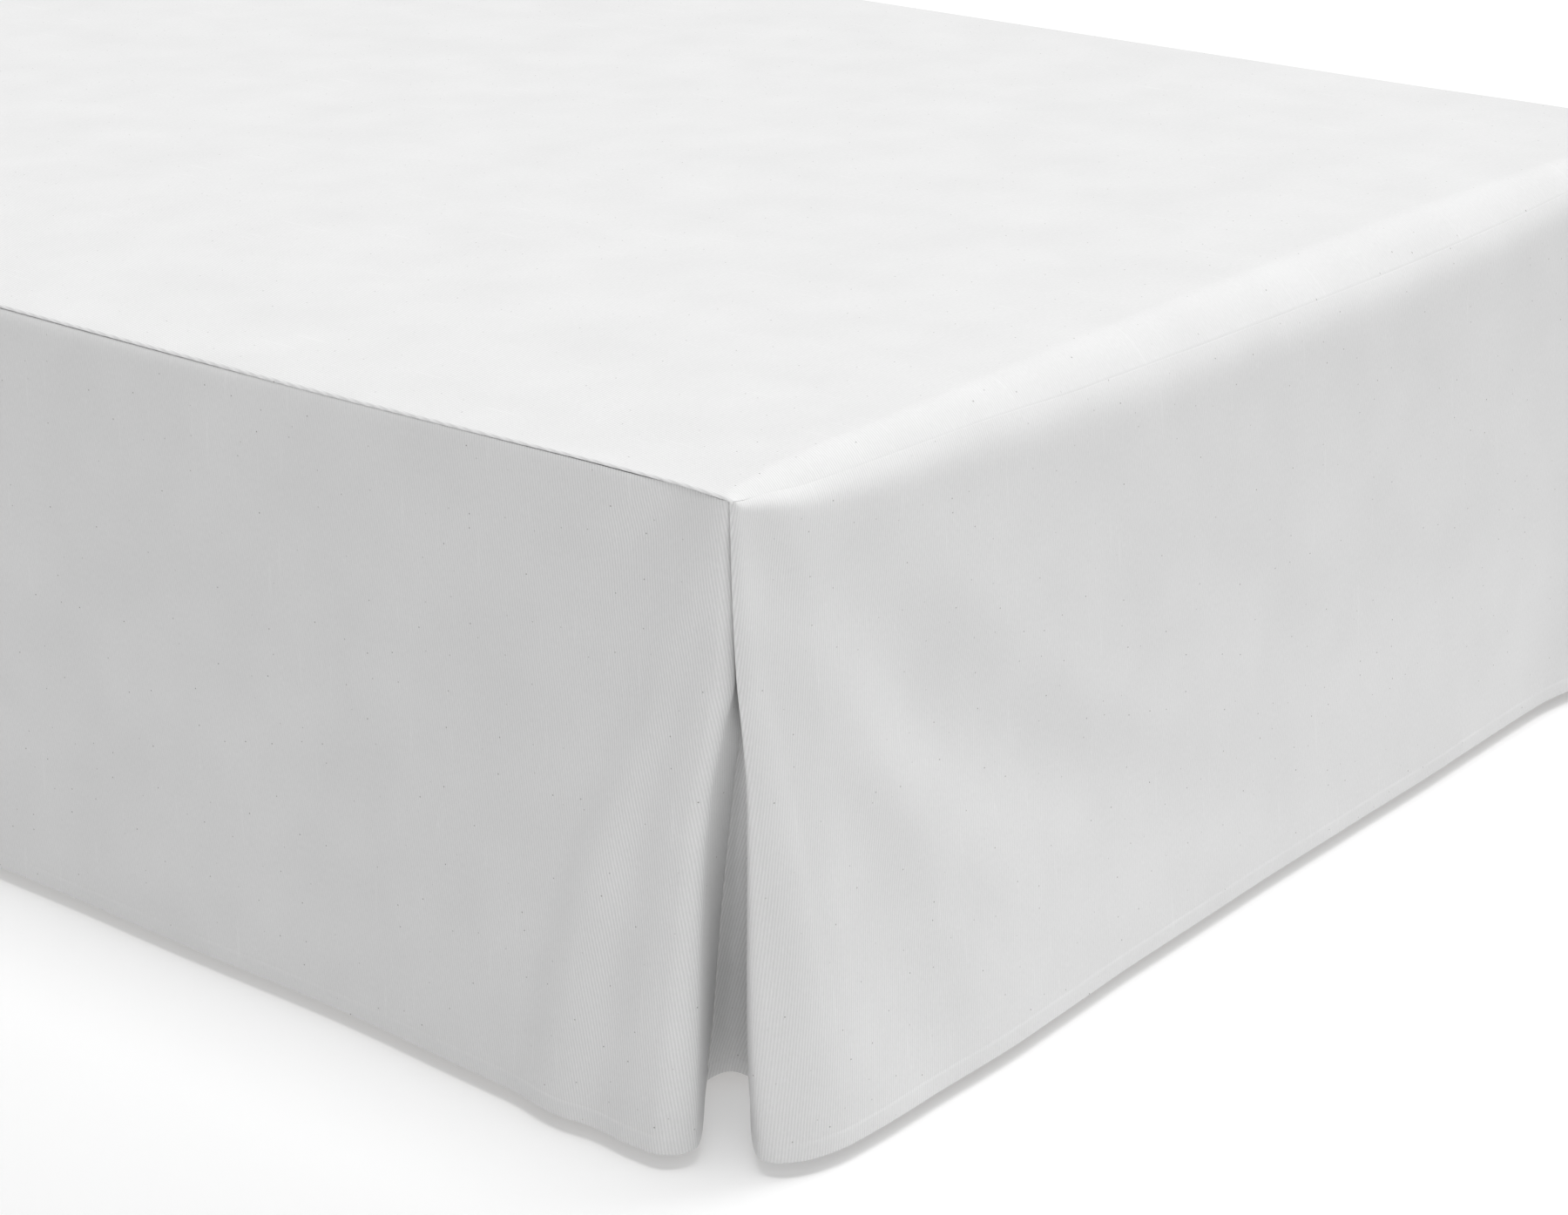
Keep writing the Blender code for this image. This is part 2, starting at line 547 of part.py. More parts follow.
def legs(material, collection):
    """Three pairs of turned legs, set in from the sides so that the pleats hang free."""
    height = BASE_BOTTOM - SEAT_GAP
    half_length = DECK_LENGTH / 2 - LEG_INSET_ALONG
    half_width = DECK_WIDTH / 2 - LEG_INSET_ACROSS
    for row, along in (("foot", -half_length), ("middle", 0.0), ("head", half_length)):
        for side, x_sign in (("left", -1), ("right", 1)):
            turned = bmesh.new()
            bmesh.ops.create_cone(
                turned, cap_ends=True, segments=LEG_SIDES,
                radius1=LEG_FOOT_RADIUS, radius2=LEG_TOP_RADIUS, depth=height,
            )
            name = "leg_" + row + "_" + side
            mesh = bpy.data.meshes.new(name)
            turned.to_mesh(mesh)
            turned.free()
            mesh.shade_smooth()
            mesh.set_sharp_from_angle(angle=SHARP_FROM)
            mesh.materials.append(material)
            leg = bpy.data.objects.new(name, mesh)
            leg.location = (x_sign * half_width, (FOOT_Y + HEAD_Y) / 2 + along, height / 2)
            collection.objects.link(leg)


def finish(name, colour, roughness):
    """A Principled material with one colour."""
    material = bpy.data.materials.new(name)
    material.use_nodes = True
    shader = material.node_tree.nodes["Principled BSDF"]
    shader.inputs["Base Color"].default_value = colour
    shader.inputs["Roughness"].default_value = roughness
    shader.inputs["Metallic"].default_value = 0.0
    return material


def main():
    clear_scene()
    collection = bpy.data.collections.new("Bed skirt")
    bpy.context.scene.collection.children.link(collection)
    left = Corner(-1, PLEAT_LEFT, PLEAT_AXIS_LEFT, LEFT_RUN, LEFT_FOLDS, LEFT_LIFT)
    right = Corner(1, PLEAT_RIGHT, PLEAT_AXIS_RIGHT, RIGHT_RUN, RIGHT_FOLDS, RIGHT_LIFT)

    deck_sheet("deck", left, right, finish("Deck drill", WHITE_DRILL, 0.9), collection)
    side_drop("side_drop_left", left, finish("Left drop drill", WHITE_DRILL, 0.9), collection)
    side_drop("side_drop_right", right, finish("Right drop drill", WHITE_DRILL, 0.9), collection)
    foot_drop("foot_drop", left, right, finish("Foot drop drill", WHITE_DRILL, 0.9), collection)
    pleat_insert("pleat_insert_left", left, finish("Left insert drill", WHITE_DRILL, 0.9), collection)
    pleat_insert("pleat_insert_right", right, finish("Right insert drill", WHITE_DRILL, 0.9), collection)
    bed_base("bed_base", finish("Base cover", BASE_COVER, 0.85), collection)
    legs(finish("Beech", BEECH, 0.5), collection)


main()
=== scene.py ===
"""A tailored white bed skirt over a plain bed base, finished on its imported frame.

Metres, +Z up, the foot towards -Y and the open head end towards +Y. Each cloth piece is a fine grid
laid on the shape in which it hangs, with its seams, hem, creases and unevenness, and then given its
thickness.
"""

import math
from bisect import bisect_right

import bmesh
import bpy
from mathutils import Matrix, Vector, noise


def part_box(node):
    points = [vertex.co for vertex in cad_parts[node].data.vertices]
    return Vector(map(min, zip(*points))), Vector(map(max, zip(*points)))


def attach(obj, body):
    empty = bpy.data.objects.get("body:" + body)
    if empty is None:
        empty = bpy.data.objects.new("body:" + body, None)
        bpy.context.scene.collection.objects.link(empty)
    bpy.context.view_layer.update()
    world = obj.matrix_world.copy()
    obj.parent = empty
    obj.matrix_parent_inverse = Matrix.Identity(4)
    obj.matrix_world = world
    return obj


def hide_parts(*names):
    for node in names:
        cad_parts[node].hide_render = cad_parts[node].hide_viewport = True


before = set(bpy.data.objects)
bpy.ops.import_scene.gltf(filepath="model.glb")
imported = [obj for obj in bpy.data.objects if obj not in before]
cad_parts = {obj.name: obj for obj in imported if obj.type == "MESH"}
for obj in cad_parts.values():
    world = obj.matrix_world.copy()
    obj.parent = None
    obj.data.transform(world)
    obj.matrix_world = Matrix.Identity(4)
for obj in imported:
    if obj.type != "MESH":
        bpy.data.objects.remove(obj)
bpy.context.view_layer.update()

MM = 0.001

# ---------------------------------------------------------------- sizes

DROP = 0.350  # as sewn, from the deck to the hem
CLOTH = 0.8 * MM  # a drill's real thickness
HALF_CLOTH = CLOTH / 2
HEM_HEIGHT = 10 * MM
RIM_SOFTNESS = 0.2 * MM  # how round the cloth's edges are
RIM_ANGLE = math.radians(60)  # an edge of its mesh that bends further is one of them

_, deck_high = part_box("deck")
foot_low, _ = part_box("foot_drop")
base_low, base_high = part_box("bed_base")
SIDE_X = deck_high.x
DECK_WIDTH = 2 * SIDE_X
HEAD_Y = deck_high.y
DECK_LENGTH = 1.905  # a twin's
FOOT_Y = HEAD_Y - DECK_LENGTH
HEM_Z = foot_low.z
DECK_MID_Z = HEM_Z + DROP - HALF_CLOTH

# ---------------------------------------------------------------- how the skirt hangs

# The pleats. "below" is the share of the drop below the deck. The rest is in mm, in the pleat's own
# axes: "across" from its centre line towards the foot's flap, "inward" from the deck's corner. foot_*
# and side_* are the flaps' folds, back_* are the two seams of the inner panel.
PLEAT_COLUMNS = (
    "below", "foot_across", "foot_inward", "side_across", "side_inward",
    "back_foot_across", "back_foot_inward", "back_side_across", "back_side_inward",
)
PLEAT_LEFT = (
    (0.00, -1.0, 1.2, -1.6, 3.6, 2.6, 17.0, -4.6, 17.0),
    (0.07, -0.5, 2.6, -1.0, 6.6, 3.0, 18.0, -4.2, 18.0),
    (0.18, 0.6, 2.0, 0.2, 7.4, 4.4, 19.5, -2.6, 19.2),
    (0.26, 2.0, 2.0, 0.2, 8.2, 6.4, 21.0, 1.0, 20.5),
    (0.34, 4.8, 2.6, -5.0, 9.2, 7.5, 24.0, 2.4, 23.0),
    (0.44, 7.6, 3.4, -11.5, 11.4, 8.5, 34.0, -0.6, 32.0),
    (0.56, 8.2, 4.2, -15.8, 12.8, 8.2, 46.0, -4.4, 44.0),
    (0.68, 8.4, 4.6, -17.8, 13.8, 7.4, 59.0, -8.0, 56.0),
    (0.80, 9.0, 4.4, -19.2, 14.4, 6.6, 72.5, -10.9, 68.5),
    (0.90, 10.6, 3.6, -20.2, 14.4, 6.4, 82.5, -13.4, 78.5),
    (1.00, 13.5, 2.4, -21.3, 14.0, 6.4, 91.5, -16.5, 87.5),
)
PLEAT_RIGHT = (
    (0.00, -1.0, 1.2, -1.8, 4.0, 4.0, 17.0, -4.0, 17.0),
    (0.20, 0.6, 1.6, 0.2, 6.5, 5.4, 19.0, -2.8, 19.0),
    (0.34, 3.0, 2.6, 1.4, 8.5, 6.5, 24.0, -1.0, 23.0),
    (0.50, 6.5, 4.4, -5.0, 11.5, 8.0, 39.0, -5.0, 36.0),
    (0.75, 9.5, 7.0, -12.0, 15.0, 8.5, 62.0, -11.0, 58.0),
    (1.00, 14.0, 10.0, -18.0, 17.0, 9.0, 84.0, -14.0, 80.0),
)
PLEAT_AXIS_LEFT = math.radians(39.2)  # from the foot's line to the pleat's centre line
PLEAT_AXIS_RIGHT = math.radians(43.0)

# How far each drop stands out past the deck, in mm, half-way down and at its hem. "along" is in metres
# from the left corner on the foot, and from the foot on the sides.
RUN_COLUMNS = ("along", "middle_out", "hem_out")
FOOT_RUN = (
    (0.00, 9.0, 30.0), (0.06, 14.5, 34.0), (0.14, 14.0, 36.0), (0.23, 12.2, 32.0), (0.32, 10.8, 27.6),
    (0.42, 10.0, 24.4), (0.56, 9.4, 21.4), (0.70, 8.4, 18.6), (0.80, 8.0, 16.8), (0.88, 11.0, 22.0),
    (0.93, 12.0, 25.0), (0.99, 8.0, 20.0),
)
LEFT_RUN = (
    (0.00, 7.0, 19.0), (0.07, 8.0, 20.0), (0.13, 6.6, 15.4), (0.20, 5.0, 11.0), (0.30, 3.0, 6.5),
    (0.40, 2.4, 5.2), (0.50, 1.2, 2.4), (0.62, 0.8, 1.8), (0.78, 2.4, 5.0), (0.95, 1.4, 3.2),
    (1.15, 3.2, 7.0), (1.35, 1.6, 3.6), (1.55, 2.8, 6.5), (1.75, 1.5, 4.0), (1.905, 3.0, 9.0),
)
RIGHT_RUN = (
    (0.00, 6.0, 17.0), (0.08, 7.5, 19.0), (0.18, 5.0, 12.0), (0.32, 2.4, 5.5), (0.50, 2.8, 7.0),
    (0.70, 1.0, 2.6), (0.88, 2.6, 6.0), (1.10, 1.2, 3.0), (1.30, 3.0, 7.5), (1.52, 1.4, 3.4),
    (1.72, 2.4, 5.0), (1.905, 2.8, 8.0),
)

# Soft ridges, and troughs with a rise below zero, that fan out from the corners. Each row gives the
# three places along the drop that the fold's line passes through, at the top, half-way down and at the
# hem, in metres, then the fold's width to where it has faded and its rise, in mm, and the shares of the
# drop at which it starts and ends.
FOOT_FOLDS = (
    (0.014, 0.058, 0.104, 48.0, -1.8, -0.005, 0.25),
    (0.048, 0.068, 0.138, 50.0, -2.4, 0.15, 1.40),
    (0.022, 0.112, 0.252, 60.0, 1.8, 0.05, 0.90),
    (0.065, 0.188, 0.495, 120.0, -4.2, 0.00, 1.00),
    (0.820, 0.740, 0.640, 60.0, 2.2, 0.20, 1.30),
    (0.940, 0.885, 0.850, 34.0, 2.6, 0.10, 1.30),
)
LEFT_FOLDS = (
    (0.030, 0.150, 0.270, 64.0, -3.2, -0.05, 0.20),
    (-0.006, 0.096, 0.200, 30.0, 2.0, 0.06, 0.34),
    (-0.015, 0.070, 0.112, 24.0, 4.4, 0.08, 1.40),
    (0.004, 0.048, 0.078, 18.0, -2.2, 0.24, 1.40),
    (0.330, 0.300, 0.280, 70.0, -1.6, 0.10, 1.30),
    (0.900, 0.940, 1.000, 90.0, 2.4, 0.20, 1.30),
    (1.500, 1.460, 1.400, 80.0, -1.8, 0.10, 1.30),
)
RIGHT_FOLDS = (
    (0.006, 0.066, 0.100, 22.0, 2.6, 0.16, 1.30),
    (0.004, 0.034, 0.050, 14.0, 2.0, 0.30, 1.40),
    (0.560, 0.600, 0.640, 80.0, 2.2, 0.20, 1.30),
    (1.250, 1.200, 1.160, 90.0, -1.8, 0.10, 1.30),
)

# The foot's top edge, where the deck rolls over the base. In mm: how far in from the edge that roll
# starts, how far in and how far down its seam with the foot drop lies, and how tall the soft shoulder
# under it is.
EDGE_COLUMNS = ("along", "roll_starts", "seam_in", "seam_down", "shoulder")
FOOT_EDGE = (
    (0.000, 3.5, 0.0, 1.2, 3.0), (0.006, 6.0, 1.4, 2.6, 5.0), (0.012, 8.5, 2.4, 3.9, 7.0),
    (0.030, 12.0, 3.9, 5.8, 10.0), (0.060, 18.0, 4.8, 9.4, 15.0), (0.100, 20.0, 5.3, 10.9, 20.0),
    (0.200, 23.5, 5.5, 13.0, 25.0), (0.300, 28.0, 5.5, 17.0, 29.0), (0.450, 31.5, 5.5, 19.4, 29.0),
    (0.600, 33.0, 5.5, 20.3, 29.0), (0.740, 30.0, 5.5, 18.0, 27.0), (0.860, 23.0, 5.4, 12.6, 22.0),
    (0.930, 18.0, 4.8, 9.0, 15.0), (0.960, 12.5, 3.9, 6.0, 10.0), (0.978, 8.5, 2.4, 4.0, 7.0),
    (0.984, 6.0, 1.4, 2.6, 5.0), (0.990, 3.5, 0.0, 1.2, 3.0),
)

# How far a side edge of the deck stands above the flat deck, in mm, by its distance from the foot.
LIFT_COLUMNS = ("along", "lift")
LEFT_LIFT = (
    (0.000, 0.0), (0.006, 0.0), (0.030, 1.3), (0.080, 1.4), (0.140, 0.7), (0.200, 0.0), (0.300, -0.8),
    (0.420, -0.4), (0.600, 0.4), (0.900, 0.0), (1.905, 0.0),
)
RIGHT_LIFT = ((0.000, 0.0), (0.006, 0.0), (0.035, 1.0), (0.110, 0.9), (0.220, 0.0), (1.905, 0.0))
LIFT_REACH = 17 * MM  # how far in from the edge it fades

# The seam along a side edge, in mm: how far the drop bulges out past it, how soon it has done so, and
# how wide the groove between the deck and the drop gapes.
SEAM_COLUMNS = ("along", "bulge", "fade", "groove")
LEFT_SEAM = (
    (0.000, 0.6, 2.0, 0.05), (0.013, 0.8, 2.2, 0.10), (0.040, 1.0, 2.2, 0.22), (0.065, 1.0, 2.2, 0.24),
    (0.100, 1.0, 2.2, 0.16), (0.145, 1.0, 2.2, 0.08), (0.180, 1.0, 2.2, 0.00), (0.300, 1.2, 2.6, 0.00),
    (0.345, 2.0, 3.2, 0.15), (0.400, 2.8, 4.0, 0.25), (0.600, 2.6, 4.0, 0.20), (0.900, 1.6, 3.0, 0.25),
    (1.300, 2.6, 4.0, 0.20), (1.905, 1.4, 3.0, 0.20),
)
RIGHT_SEAM = (
    (0.000, 0.6, 2.0, 0.15), (0.050, 1.0, 2.4, 0.35), (0.160, 1.2, 2.6, 0.15), (0.360, 2.4, 3.6, 0.25),
    (0.700, 1.4, 3.0, 0.15), (1.100, 2.4, 4.0, 0.25), (1.905, 1.4, 3.0, 0.20),
)
DECK_EDGE_ROUND = 1.4 * MM  # how far in from its side seam the deck starts to turn down
DECK_EDGE_DROP = 1.0 * MM  # how far down it has turned at the seam
SEAM_SET_IN = 0.05 * MM  # how far the drop's top edge lies behind the deck's
SEAM_STEP = 0.30 * MM  # from the middle of the deck's edge down to the drop's

ROLLED_FROM = 4 * MM  # once the seam lies this far in, the deck and the foot drop meet edge to edge
SEAM_OVERLAP = 0.22 * MM  # how far their soft rims then press into each other, so that no line shows
FLAT_LEAD = 3 * MM  # how far before its table's place the deck's roll starts
SHOULDER_CURVE = 3.0  # over 1 it turns the cloth soonest right under the seam

# Each pair is for the places under the deck and at the hem. The pull reaches its second half-way down.
RETURN_PULL = (0.08, 0.34)  # how strongly a return keeps its fold's direction
FOOT_FLAP_REACH = (0.004, 0.050)  # how far from its fold a flap starts to curve in, in metres
SIDE_FLAP_REACH = (0.003, 0.016)
FOLD_WIDTHS = (0.45, 1.35)  # how wide a fold is, as shares of its own width
INSERT_BOW = 8 * MM  # how far the inner panel's hem bows inwards
INSERT_END_GAP = 0.42 * MM  # between the panel's long edges and the returns

# How finely the grids are cut, as (cells, length in metres). The stretch with no length takes the rest.
FOOT_STRETCHES = ((20, 0.060), (50, 0.210), (120, None), (22, 0.120), (16, 0.060))
SIDE_STRETCHES = ((26, 0.080), (50, 0.200), (80, 0.360), (100, None))
RETURN_COLUMNS = 14
CURVE_COLUMNS = 12
FLAP_COLUMNS = RETURN_COLUMNS + CURVE_COLUMNS
INSERT_COLUMNS = 16
FOOT_COLUMNS = sum(cells for cells, _ in FOOT_STRETCHES)
SIDE_COLUMNS = sum(cells for cells, _ in SIDE_STRETCHES)
# The finer rows' places, below the seam and above the hem's edge.
SEAM_ROWS = tuple(at * MM for at in (0.0, 0.5, 1.0, 1.6, 2.4, 3.4, 4.8, 6.5, 9.0, 12.0))
MAIN_ROWS = 72
HEM_ROWS = tuple(at * MM for at in (
    18.0, 14.5, 12.4, 11.4, 10.9, 10.5, 10.2, 9.9, 9.5, 9.0, 7.5, 5.0, 2.5, 0.8, 0.0,
))
DROP_ROWS = len(SEAM_ROWS) + MAIN_ROWS + len(HEM_ROWS)
DECK_EDGE_PLACES = tuple(at * MM for at in (0.0, 0.25, 0.5, 0.8, 1.1, 1.4, 2.0, 3.2))  # in from a side
EDGE_SPACING = 1.3  # the other columns keep this many times as far in as the last of those places
ROLL_ROWS = 22
# The deck's stretches past its roll, in shares of what is left of its length.
DECK_STRETCHES = ((12, 0.080), (24, 0.300), (60, None), (4, 0.016), (6, 0.006))
PLACING_ROUNDS = 3  # a column's place and a row's height depend on each other, and settle in these


# ---------------------------------------------------------------- shape functions


def between(ends, share):
    """The value that share of the way from one end to the other."""
    return ends[0] + (ends[1] - ends[0]) * share


def eased(share):
    """The share, held between 0 and 1, with a soft start and end."""
    share = min(max(share, 0.0), 1.0)
    return share * share * (3 - 2 * share)


def soft_curve(places, values):
    """A function of place, on a soft curve through the values that never swings past them."""
    steps = [after - before for before, after in zip(places, places[1:])]
    rises = [(values[k + 1] - values[k]) / steps[k] for k in range(len(steps))]
    slopes = [0.0]
    for before, after in zip(rises, rises[1:]):
        slopes.append(2 * before * after / (before + after) if before * after > 0 else 0.0)
    slopes.append(0.0)

    def at(place):
        place = min(max(place, places[0]), places[-1])
        left = min(bisect_right(places, place) - 1, len(steps) - 1)
        span = steps[left]
        step = (place - places[left]) / span
        bend = step * step * (3 - 2 * step)
        ease_in = slopes[left] * span * step * (1 - step) ** 2
        ease_out = slopes[left + 1] * span * step * step * (1 - step)
        return values[left] + (values[left + 1] - values[left]) * bend + ease_in - ease_out

    return at


def curves(columns, rows):
    """One soft curve for each column after the first, by name, in metres."""
    places = [row[0] for row in rows]
    return {
        name: soft_curve(places, [row[index] * MM for row in rows])
        for index, name in enumerate(columns) if index
    }


def spread(stretches, total):
    """Places from 0 to the total, each stretch cut into its cells."""
    rest = total - sum(size for _, size in stretches if size)
    places = [0.0]
    for cells, size in stretches:
        start = places[-1]
        places += [start + (size or rest) * (cell + 1) / cells for cell in range(cells)]
    return places


foot_run = curves(RUN_COLUMNS, FOOT_RUN)
foot_edge = curves(EDGE_COLUMNS, FOOT_EDGE)
FOOT_PLACES = spread(FOOT_STRETCHES, DECK_WIDTH)
SIDE_PLACES = spread(SIDE_STRETCHES, DECK_LENGTH)


def down_the_drop(top, middle, hem, below):
    """The value there, on an even bend through its values at the top, half-way down and at the hem."""
    return top + (4 * middle - 3 * top - hem) * below + (2 * top + 2 * hem - 4 * middle) * below**2


def flat_height(below):
    """How high on the flat cloth, from the hem's edge, that share below the deck lies."""
    return HALF_CLOTH + (1 - below) * DROP


def hangs_out(run, along, below):
    """How far a drop's middle surface hangs out past the deck's edge line, before its folds."""
    return down_the_drop(0.0, run["middle_out"](along), run["hem_out"](along), below) - HALF_CLOTH


def fold_rise(folds, along, below):
    """How far the ridges and troughs lift the cloth there."""
    rise_here = 0.0
    for top, middle, hem, width, rise, starts, ends in folds:
        if not starts < below < ends:
            continue
        line = down_the_drop(top, middle, hem, below)
        away = abs(along - line) / (width * MM * between(FOLD_WIDTHS, below))
        if away >= 1.0:
            continue
        half_way = (starts + ends) / 2
        fade = eased((below - starts) / (half_way - starts)) * eased((ends - below) / (ends - half_way))
        rise_here += rise * MM * (0.5 + 0.5 * math.cos(math.pi * away)) * fade
    return rise_here


def roll_drop(along, along_side):
    """How far the roll over the foot's edge lies below the flat deck there."""
    seam_in = foot_edge["seam_in"](along)
    flat_from = foot_edge["roll_starts"](along) + FLAT_LEAD
    inset = HALF_CLOTH * min(1.0, seam_in / ROLLED_FROM)
    share = (flat_from + inset - along_side) / (flat_from - seam_in)
    return foot_edge["seam_down"](along) * min(max(share, 0.0), 1.0) ** 2


class Corner:
    """One foot corner of the deck, with its pleat and the long side that starts there."""

    def __init__(self, x_sign, pleat, axis, run, folds, lift, seam):
        self.x_sign = x_sign
        self.axis = axis
        self.pleat = curves(PLEAT_COLUMNS, pleat)
        self.run = curves(RUN_COLUMNS, run)
        self.folds = folds
        self.edge_lift = curves(LIFT_COLUMNS, lift)["lift"]
        self.seam = curves(SEAM_COLUMNS, seam)

    def to_world(self, along_foot, along_side, z):
        return Vector((self.x_sign * (SIDE_X - along_foot), FOOT_Y + along_side, z))

    def foot_along(self, along_foot):
        """The same place, measured from the left corner."""
        return along_foot if self.x_sign < 0 else DECK_WIDTH - along_foot

    def lift(self, along_foot, along_side):
        near = max(0.0, 1 - along_foot / LIFT_REACH)
        return self.edge_lift(along_side) * near * near

    def deck_drop(self, along_foot, along_side):
        """How far the deck lies below its flat there."""
        return roll_drop(self.foot_along(along_foot), along_side) - self.lift(along_foot, along_side)

    def point(self, which, below):
        """A named point of the pleat: (along the foot, along the side)."""
        across = self.pleat[which + "_across"](below)
        inward = self.pleat[which + "_inward"](below)
        along_foot = across * math.sin(self.axis) + inward * math.cos(self.axis)
        along_side = inward * math.sin(self.axis) - across * math.cos(self.axis)
        return along_foot, along_side


left = Corner(-1, PLEAT_LEFT, PLEAT_AXIS_LEFT, LEFT_RUN, LEFT_FOLDS, LEFT_LIFT, LEFT_SEAM)
right = Corner(1, PLEAT_RIGHT, PLEAT_AXIS_RIGHT, RIGHT_RUN, RIGHT_FOLDS, RIGHT_LIFT, RIGHT_SEAM)


def drop_row(row, start):
    """How far below the seam a drop's row lies, where the seam is that far below the deck."""
    total = DROP - HALF_CLOTH - start
    if row < len(SEAM_ROWS):
        return SEAM_ROWS[row]
    from_hem = DROP_ROWS - 1 - row
    if from_hem < len(HEM_ROWS):
        return total - HEM_ROWS[len(HEM_ROWS) - 1 - from_hem]
    share = (row - len(SEAM_ROWS) + 1) / (MAIN_ROWS + 1)
    return between((SEAM_ROWS[-1], total - HEM_ROWS[0]), share)


def return_point(fold, back, kind, share, below):
    """A point on the cloth from a flap's fold (share 0) to the inner panel's seam (share 1), in plan.
    Its curve leaves the fold square to its drop and arrives along the straight line between the two."""
    arrive = (back[0] - fold[0], back[1] - fold[1])
    pull = between(RETURN_PULL, min(1.0, 2 * below)) * math.hypot(*arrive)
    leave = (0.0, pull) if kind == "foot" else (pull, 0.0)
    at_fold = 2 * share**3 - 3 * share**2 + 1
    leaving = share**3 - 2 * share**2 + share
    at_back = 3 * share**2 - 2 * share**3
    arriving = share**3 - share**2
    return tuple(
        at_fold * fold[k] + leaving * leave[k] + at_back * back[k] + arriving * arrive[k]
        for k in (0, 1)
    )


def flap_point(corner, kind, column, below):
    """Plan point of a flap's column, from the inner panel's seam to the start of the straight run."""
    fold = corner.point(kind, below)
    if column <= RETURN_COLUMNS:
        back = corner.point("back_" + kind, below)
        return return_point(fold, back, kind, 1 - column / RETURN_COLUMNS, below)
    on_foot = kind == "foot"
    run, folds = (foot_run, FOOT_FOLDS) if on_foot else (corner.run, corner.folds)
    fold_along, fold_in = fold if on_foot else reversed(fold)
    reach = between(FOOT_FLAP_REACH if on_foot else SIDE_FLAP_REACH, below)
    turn = math.pi / 2 * (1 - (column - RETURN_COLUMNS) / CURVE_COLUMNS)
    run_starts = fold_along + reach
    along = run_starts - reach * math.sin(turn)
    start_place, place = (corner.foot_along(at) if on_foot else at for at in (run_starts, along))
    rise = fold_rise(folds, place, below) * math.cos(turn)
    out = (hangs_out(run, start_place, below) + fold_in) * math.cos(turn) - fold_in + rise
    return (along, -out) if on_foot else (-out, along)


def flap_lengths(corner, kind, below):
    """How far each of a flap's columns lies from the straight run, measured along the cloth."""
    points = [Vector(flap_point(corner, kind, column, below)) for column in range(FLAP_COLUMNS, -1, -1)]
    lengths = [0.0]
    for point, before in zip(points[1:], points):
        lengths.append(lengths[-1] + (point - before).length)
    return lengths[::-1]


def foot_profile(along, row):
    """(share below the deck, inset, share of its hang, z) of a row of the foot drop, from its seam."""
    seam_in, seam_down = foot_edge["seam_in"](along), foot_edge["seam_down"](along)
    rolled = min(1.0, seam_in / ROLLED_FROM)  # how far the deck turns over there, from 0 to 1
    start = seam_down + (1 - rolled**2) * SEAM_STEP
    fallen = drop_row(row, start)
    unturned = max(0.0, 1 - fallen / foot_edge["shoulder"](along)) ** SHOULDER_CURVE
    inset = seam_in * unturned
    down = start + fallen
    if row == 0:
        lean = math.atan2(2 * seam_down, foot_edge["roll_starts"](along) - seam_in)
        pressed_in = (1 - (1 - rolled) ** 2) * SEAM_OVERLAP
        inset += pressed_in * math.cos(lean)
        down -= pressed_in * math.sin(lean)
    return down / DROP, inset, 1 - rolled * unturned, DECK_MID_Z - down


def foot_run_place(column, row):
    """(along, share below the deck, inset, share of its hang, z) of a column of the straight run."""
    along = FOOT_PLACES[column]
    share = along / DECK_WIDTH
    for _ in range(PLACING_ROUNDS):
        below, inset, hang, z = foot_profile(along, row)
        first = flap_point(left, "foot", FLAP_COLUMNS, below)[0]
        last = DECK_WIDTH - flap_point(right, "foot", FLAP_COLUMNS, below)[0]
        along = first + (last - first) * share
    return along, below, inset, hang, z


# ---------------------------------------------------------------- the cloth's own unevenness

# Small dimples in the sewn cloth. Each row gives its place along the piece, in metres, then in mm its
# height above the hem, its half width and half height, and its depth.
LEFT_DIMPLES = (
    (0.230, 34.0, 12.0, 16.0, 0.35), (0.289, 40.0, 9.0, 14.0, 0.30), (0.319, 33.0, 10.0, 12.0, 0.30),
    (0.366, 38.0, 12.0, 15.0, 0.35), (0.470, 30.0, 14.0, 16.0, 0.25),
)
FOOT_DIMPLES = (
    (0.180, 30.0, 16.0, 14.0, 0.30), (0.420, 34.0, 18.0, 16.0, 0.25), (0.640, 28.0, 14.0, 14.0, 0.25),
)
DIMPLE_RIM = 0.8  # how strongly the cloth round a dimple rises
DIMPLE_ENDS = 4.0  # the square of how many half widths away it is gone

RIPPLE = 0.45 * MM  # a drop's slow unevenness
RIPPLE_WIDE, RIPPLE_TALL = 0.085, 0.136
RIPPLE_FADES = 0.05  # how far below the deck it is whole
WAVE = 0.35 * MM  # the laid deck's
WAVE_WIDE, WAVE_LONG = 0.12, 0.16
WAVE_STARTS = 0.03  # in from the foot's edge
WAVE_FADES = 0.08  # how far in from the deck's edges it is whole

HEM_RAISE = 0.24 * MM  # how far the turned-up layers lift the outside
HEM_STEP = 0.6 * MM  # the height over which they do so
STITCH_DEPTH = 0.15 * MM  # the stitched line's
STITCH_BELOW = 0.9 * MM  # how far it lies under the hem's upper edge
STITCH_REACH = 0.45 * MM
PUCKER = 0.16 * MM  # along the stitching
PUCKER_WIDE, PUCKER_TALL = 0.011, 0.033
PUCKER_REACH = 7 * MM

# The layer of the noise that each takes, so that no two are alike.
HEM_LAYER, DECK_LAYER, SIDE_LAYER, FOOT_LAYER = 3.1, 7.7, 1.3, 5.9


def bump_at(place, centre, reach):
    """From 0 far away to 1 at the centre, on a bell's curve."""
    return math.exp(-(((place - centre) / reach) ** 2))


